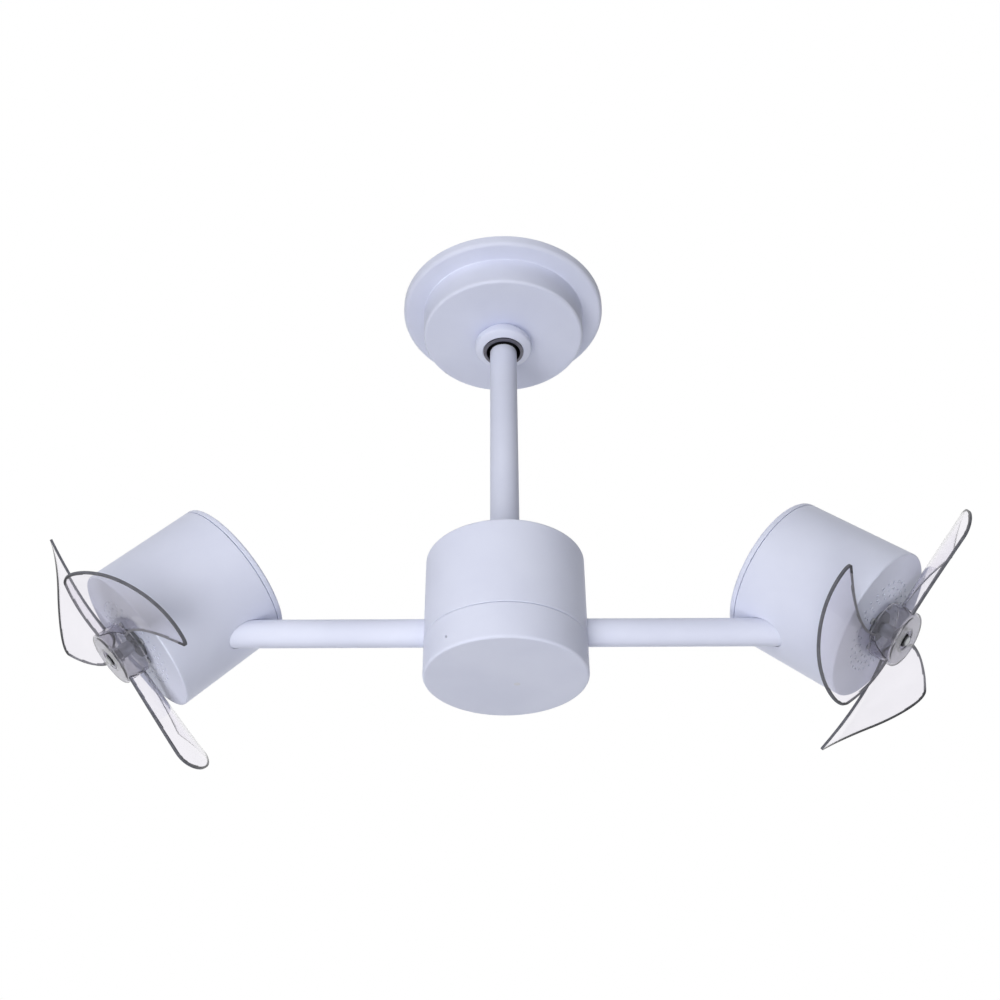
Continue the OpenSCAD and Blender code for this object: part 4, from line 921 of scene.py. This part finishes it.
def make_nut():
    """A hexagon cut from bar, with its corners turned off in front."""
    corner = NUT_ACROSS / math.sqrt(3)
    below = NUT_SEAT - 1
    nut = turned("nut", bar(corner, NUT_SEAT, NUT_FRONT), black_oxide, segments=6)
    dome = turned("dome", [
        (0, below, 0), (corner + 1, below, 0), (corner + 1, NUT_SEAT, 0),
        (corner + 0.1, NUT_FRONT - 0.5, 0), (NUT_ACROSS / 2 - 0.2, NUT_FRONT, 0), (0, NUT_FRONT, 0),
    ], black_oxide, segments=96)
    combine(nut, dome, "INTERSECT")
    bore = turned("bore", bar(SHAFT_BORE, below, NUT_FRONT + 1), black_oxide, segments=64)
    return combine(nut, bore, "DIFFERENCE")


def make_collar():
    collar = turned("collar", [
        (SHAFT_BORE, COLLAR_BACK, 0.2), (COLLAR_R, COLLAR_BACK, 0.6), (COLLAR_R, COLLAR_SEAT, 0.6),
        (SHAFT_BORE, COLLAR_SEAT, 0.2)], satin_aluminium, segments=128)
    across = Matrix.Translation((0, 0, (COLLAR_BACK + COLLAR_SEAT) / 2)) @ ALONG_X
    hole = turned("set screw hole", bar(SET_SCREW_R, 0, COLLAR_R + 1), satin_aluminium, across, 48)
    return combine(collar, hole, "DIFFERENCE")


def make_shaft():
    return turned("shaft", bar(SHAFT_R, SHAFT_BACK, SHAFT_FRONT, 0.7), ground_steel, segments=96)


for side in SIDES:
    for piece, node, slot in ((make_shaft(), "motor_shaft", "steel"),
                              (make_collar(), "shaft_collar", "grey_metal"),
                              (make_nut(), "propeller_nut", "black_steel")):
        fit(moved(piece, head_frame(side)), f"{side}_propeller", f"{side}_{node}")

# %% [markdown]
# ## Finishes for the parts that stay as they are
# Pins, bearings, motors and screws already have their true shape in the frame, so
# they only get the right finish. The receiver's lens is nylon in the record and
# milky here, because it has to let light through.

# %% Finish the frame's own parts
SLOT_FINISH = {"white_paint": powder_coat, "white_screws": screw_paint, "grey_metal": satin_aluminium,
               "zinc_plate": zinc_plate, "steel": ground_steel, "cast_metal": sand_cast,
               "winding": enamel_wire, "nylon": nylon, "board": circuit_board,
               "dark_plastic": black_plastic_and_painted_shade, "black_steel": black_oxide, "clear_plastic": clear_plastic}
NODE_FINISH = {"receiver_lens": lens_plastic}
for part in frame["record"]["subparts"]:
    obj = frame["nodes"].get(part["node"])
    if obj is None:
        continue
    finish = NODE_FINISH.get(part["node"], SLOT_FINISH[part["material_slot"]])
    if not obj.material_slots:
        obj.data.materials.append(finish)
    for slot in obj.material_slots:
        slot.material = finish

# %% [markdown]
# ## Light
# The photograph was taken in plain room light, most of it from the left and from
# below in front, on a pure white ground. Big soft lamps give that. The white
# ground is only seen by the camera and by what reflects or refracts it, so it
# doesn't light the matt surfaces. The lamps themselves are hidden from the
# camera, from reflections and from what is seen through clear plastic, where
# each would show as a bright disc with a hard edge.

# %% World and floor
FILL, FLOOR_Z, FLOOR_HALF, FLOOR_GLOW = 0.12, -2.4, 30.0, 0.75
WHITE = (1, 1, 1, 1)


def seen_directly(tree):
    """One on a ray from the camera, off a glossy surface or through a clear one, and else zero."""
    path = add(tree, "ShaderNodeLightPath").outputs
    through = add(tree, "ShaderNodeMath", {0: path["Is Camera Ray"], 1: path["Is Transmission Ray"]},
                  operation="MAXIMUM")
    seen = add(tree, "ShaderNodeMath", {0: through.outputs[0], 1: path["Is Glossy Ray"]},
               operation="MAXIMUM")
    return seen.outputs[0]


def make_world():
    world = bpy.data.worlds.new("white ground")
    world.use_nodes = True
    tree = world.node_tree
    tree.nodes.clear()
    fill = add(tree, "ShaderNodeBackground", {"Color": WHITE, "Strength": FILL})
    ground = add(tree, "ShaderNodeBackground", {"Color": WHITE, "Strength": 1.0})
    either = add(tree, "ShaderNodeMixShader",
                 {0: seen_directly(tree), 1: fill.outputs[0], 2: ground.outputs[0]})
    add(tree, "ShaderNodeOutputWorld", {"Surface": either.outputs[0]})
    bpy.context.scene.world = world


def make_floor():
    material = bpy.data.materials.new("pale floor")
    material.use_nodes = True
    tree = material.node_tree
    tree.nodes.clear()
    matt = add(tree, "ShaderNodeBsdfDiffuse", {"Color": linear("#f4f4f6")})
    glow = add(tree, "ShaderNodeEmission", {"Color": WHITE, "Strength": 1.0})
    share = add(tree, "ShaderNodeMath", {0: seen_directly(tree), 1: FLOOR_GLOW}, operation="MULTIPLY")
    either = add(tree, "ShaderNodeMixShader", {0: share.outputs[0], 1: matt.outputs[0], 2: glow.outputs[0]})
    add(tree, "ShaderNodeOutputMaterial", {"Surface": either.outputs[0]})
    bm = bmesh.new()
    bmesh.ops.create_grid(bm, x_segments=1, y_segments=1, size=FLOOR_HALF)
    bmesh.ops.translate(bm, verts=bm.verts, vec=(0, 0, FLOOR_Z))
    plain_object("floor", bm, material)


make_world()
make_floor()

# %% Lamps
LAMP_AIM = (0, 0, -0.3)
# name, place in metres, diameter in metres, power in watts
LAMPS = [
    ("left window", (-1.0, -2.2, -0.3), 1.6, 10),
    ("left wall bounce", (-0.7, -1.2, -0.6), 1.0, 6),
    ("front floor bounce", (-0.5, -1.4, -2.0), 1.4, 21),
    ("right floor bounce", (0.9, -1.2, -1.8), 1.4, 4.5),
    ("ceiling bounce", (0, -0.5, 1.6), 2.0, 13),
    ("back wall bounce", (0, 1.8, 0.2), 2.0, 32),
]


def soft_lamp(name, at, size, power):
    data = bpy.data.lights.new(name, "AREA")
    data.shape, data.size, data.energy = "DISK", size, power
    lamp = bpy.data.objects.new(name, data)
    lamp.location = at
    lamp.visible_camera = lamp.visible_glossy = lamp.visible_transmission = False
    lamp.rotation_euler = (Vector(LAMP_AIM) - Vector(at)).to_track_quat("-Z", "Y").to_euler()
    bpy.context.collection.objects.link(lamp)


for lamp_values in LAMPS:
    soft_lamp(*lamp_values)
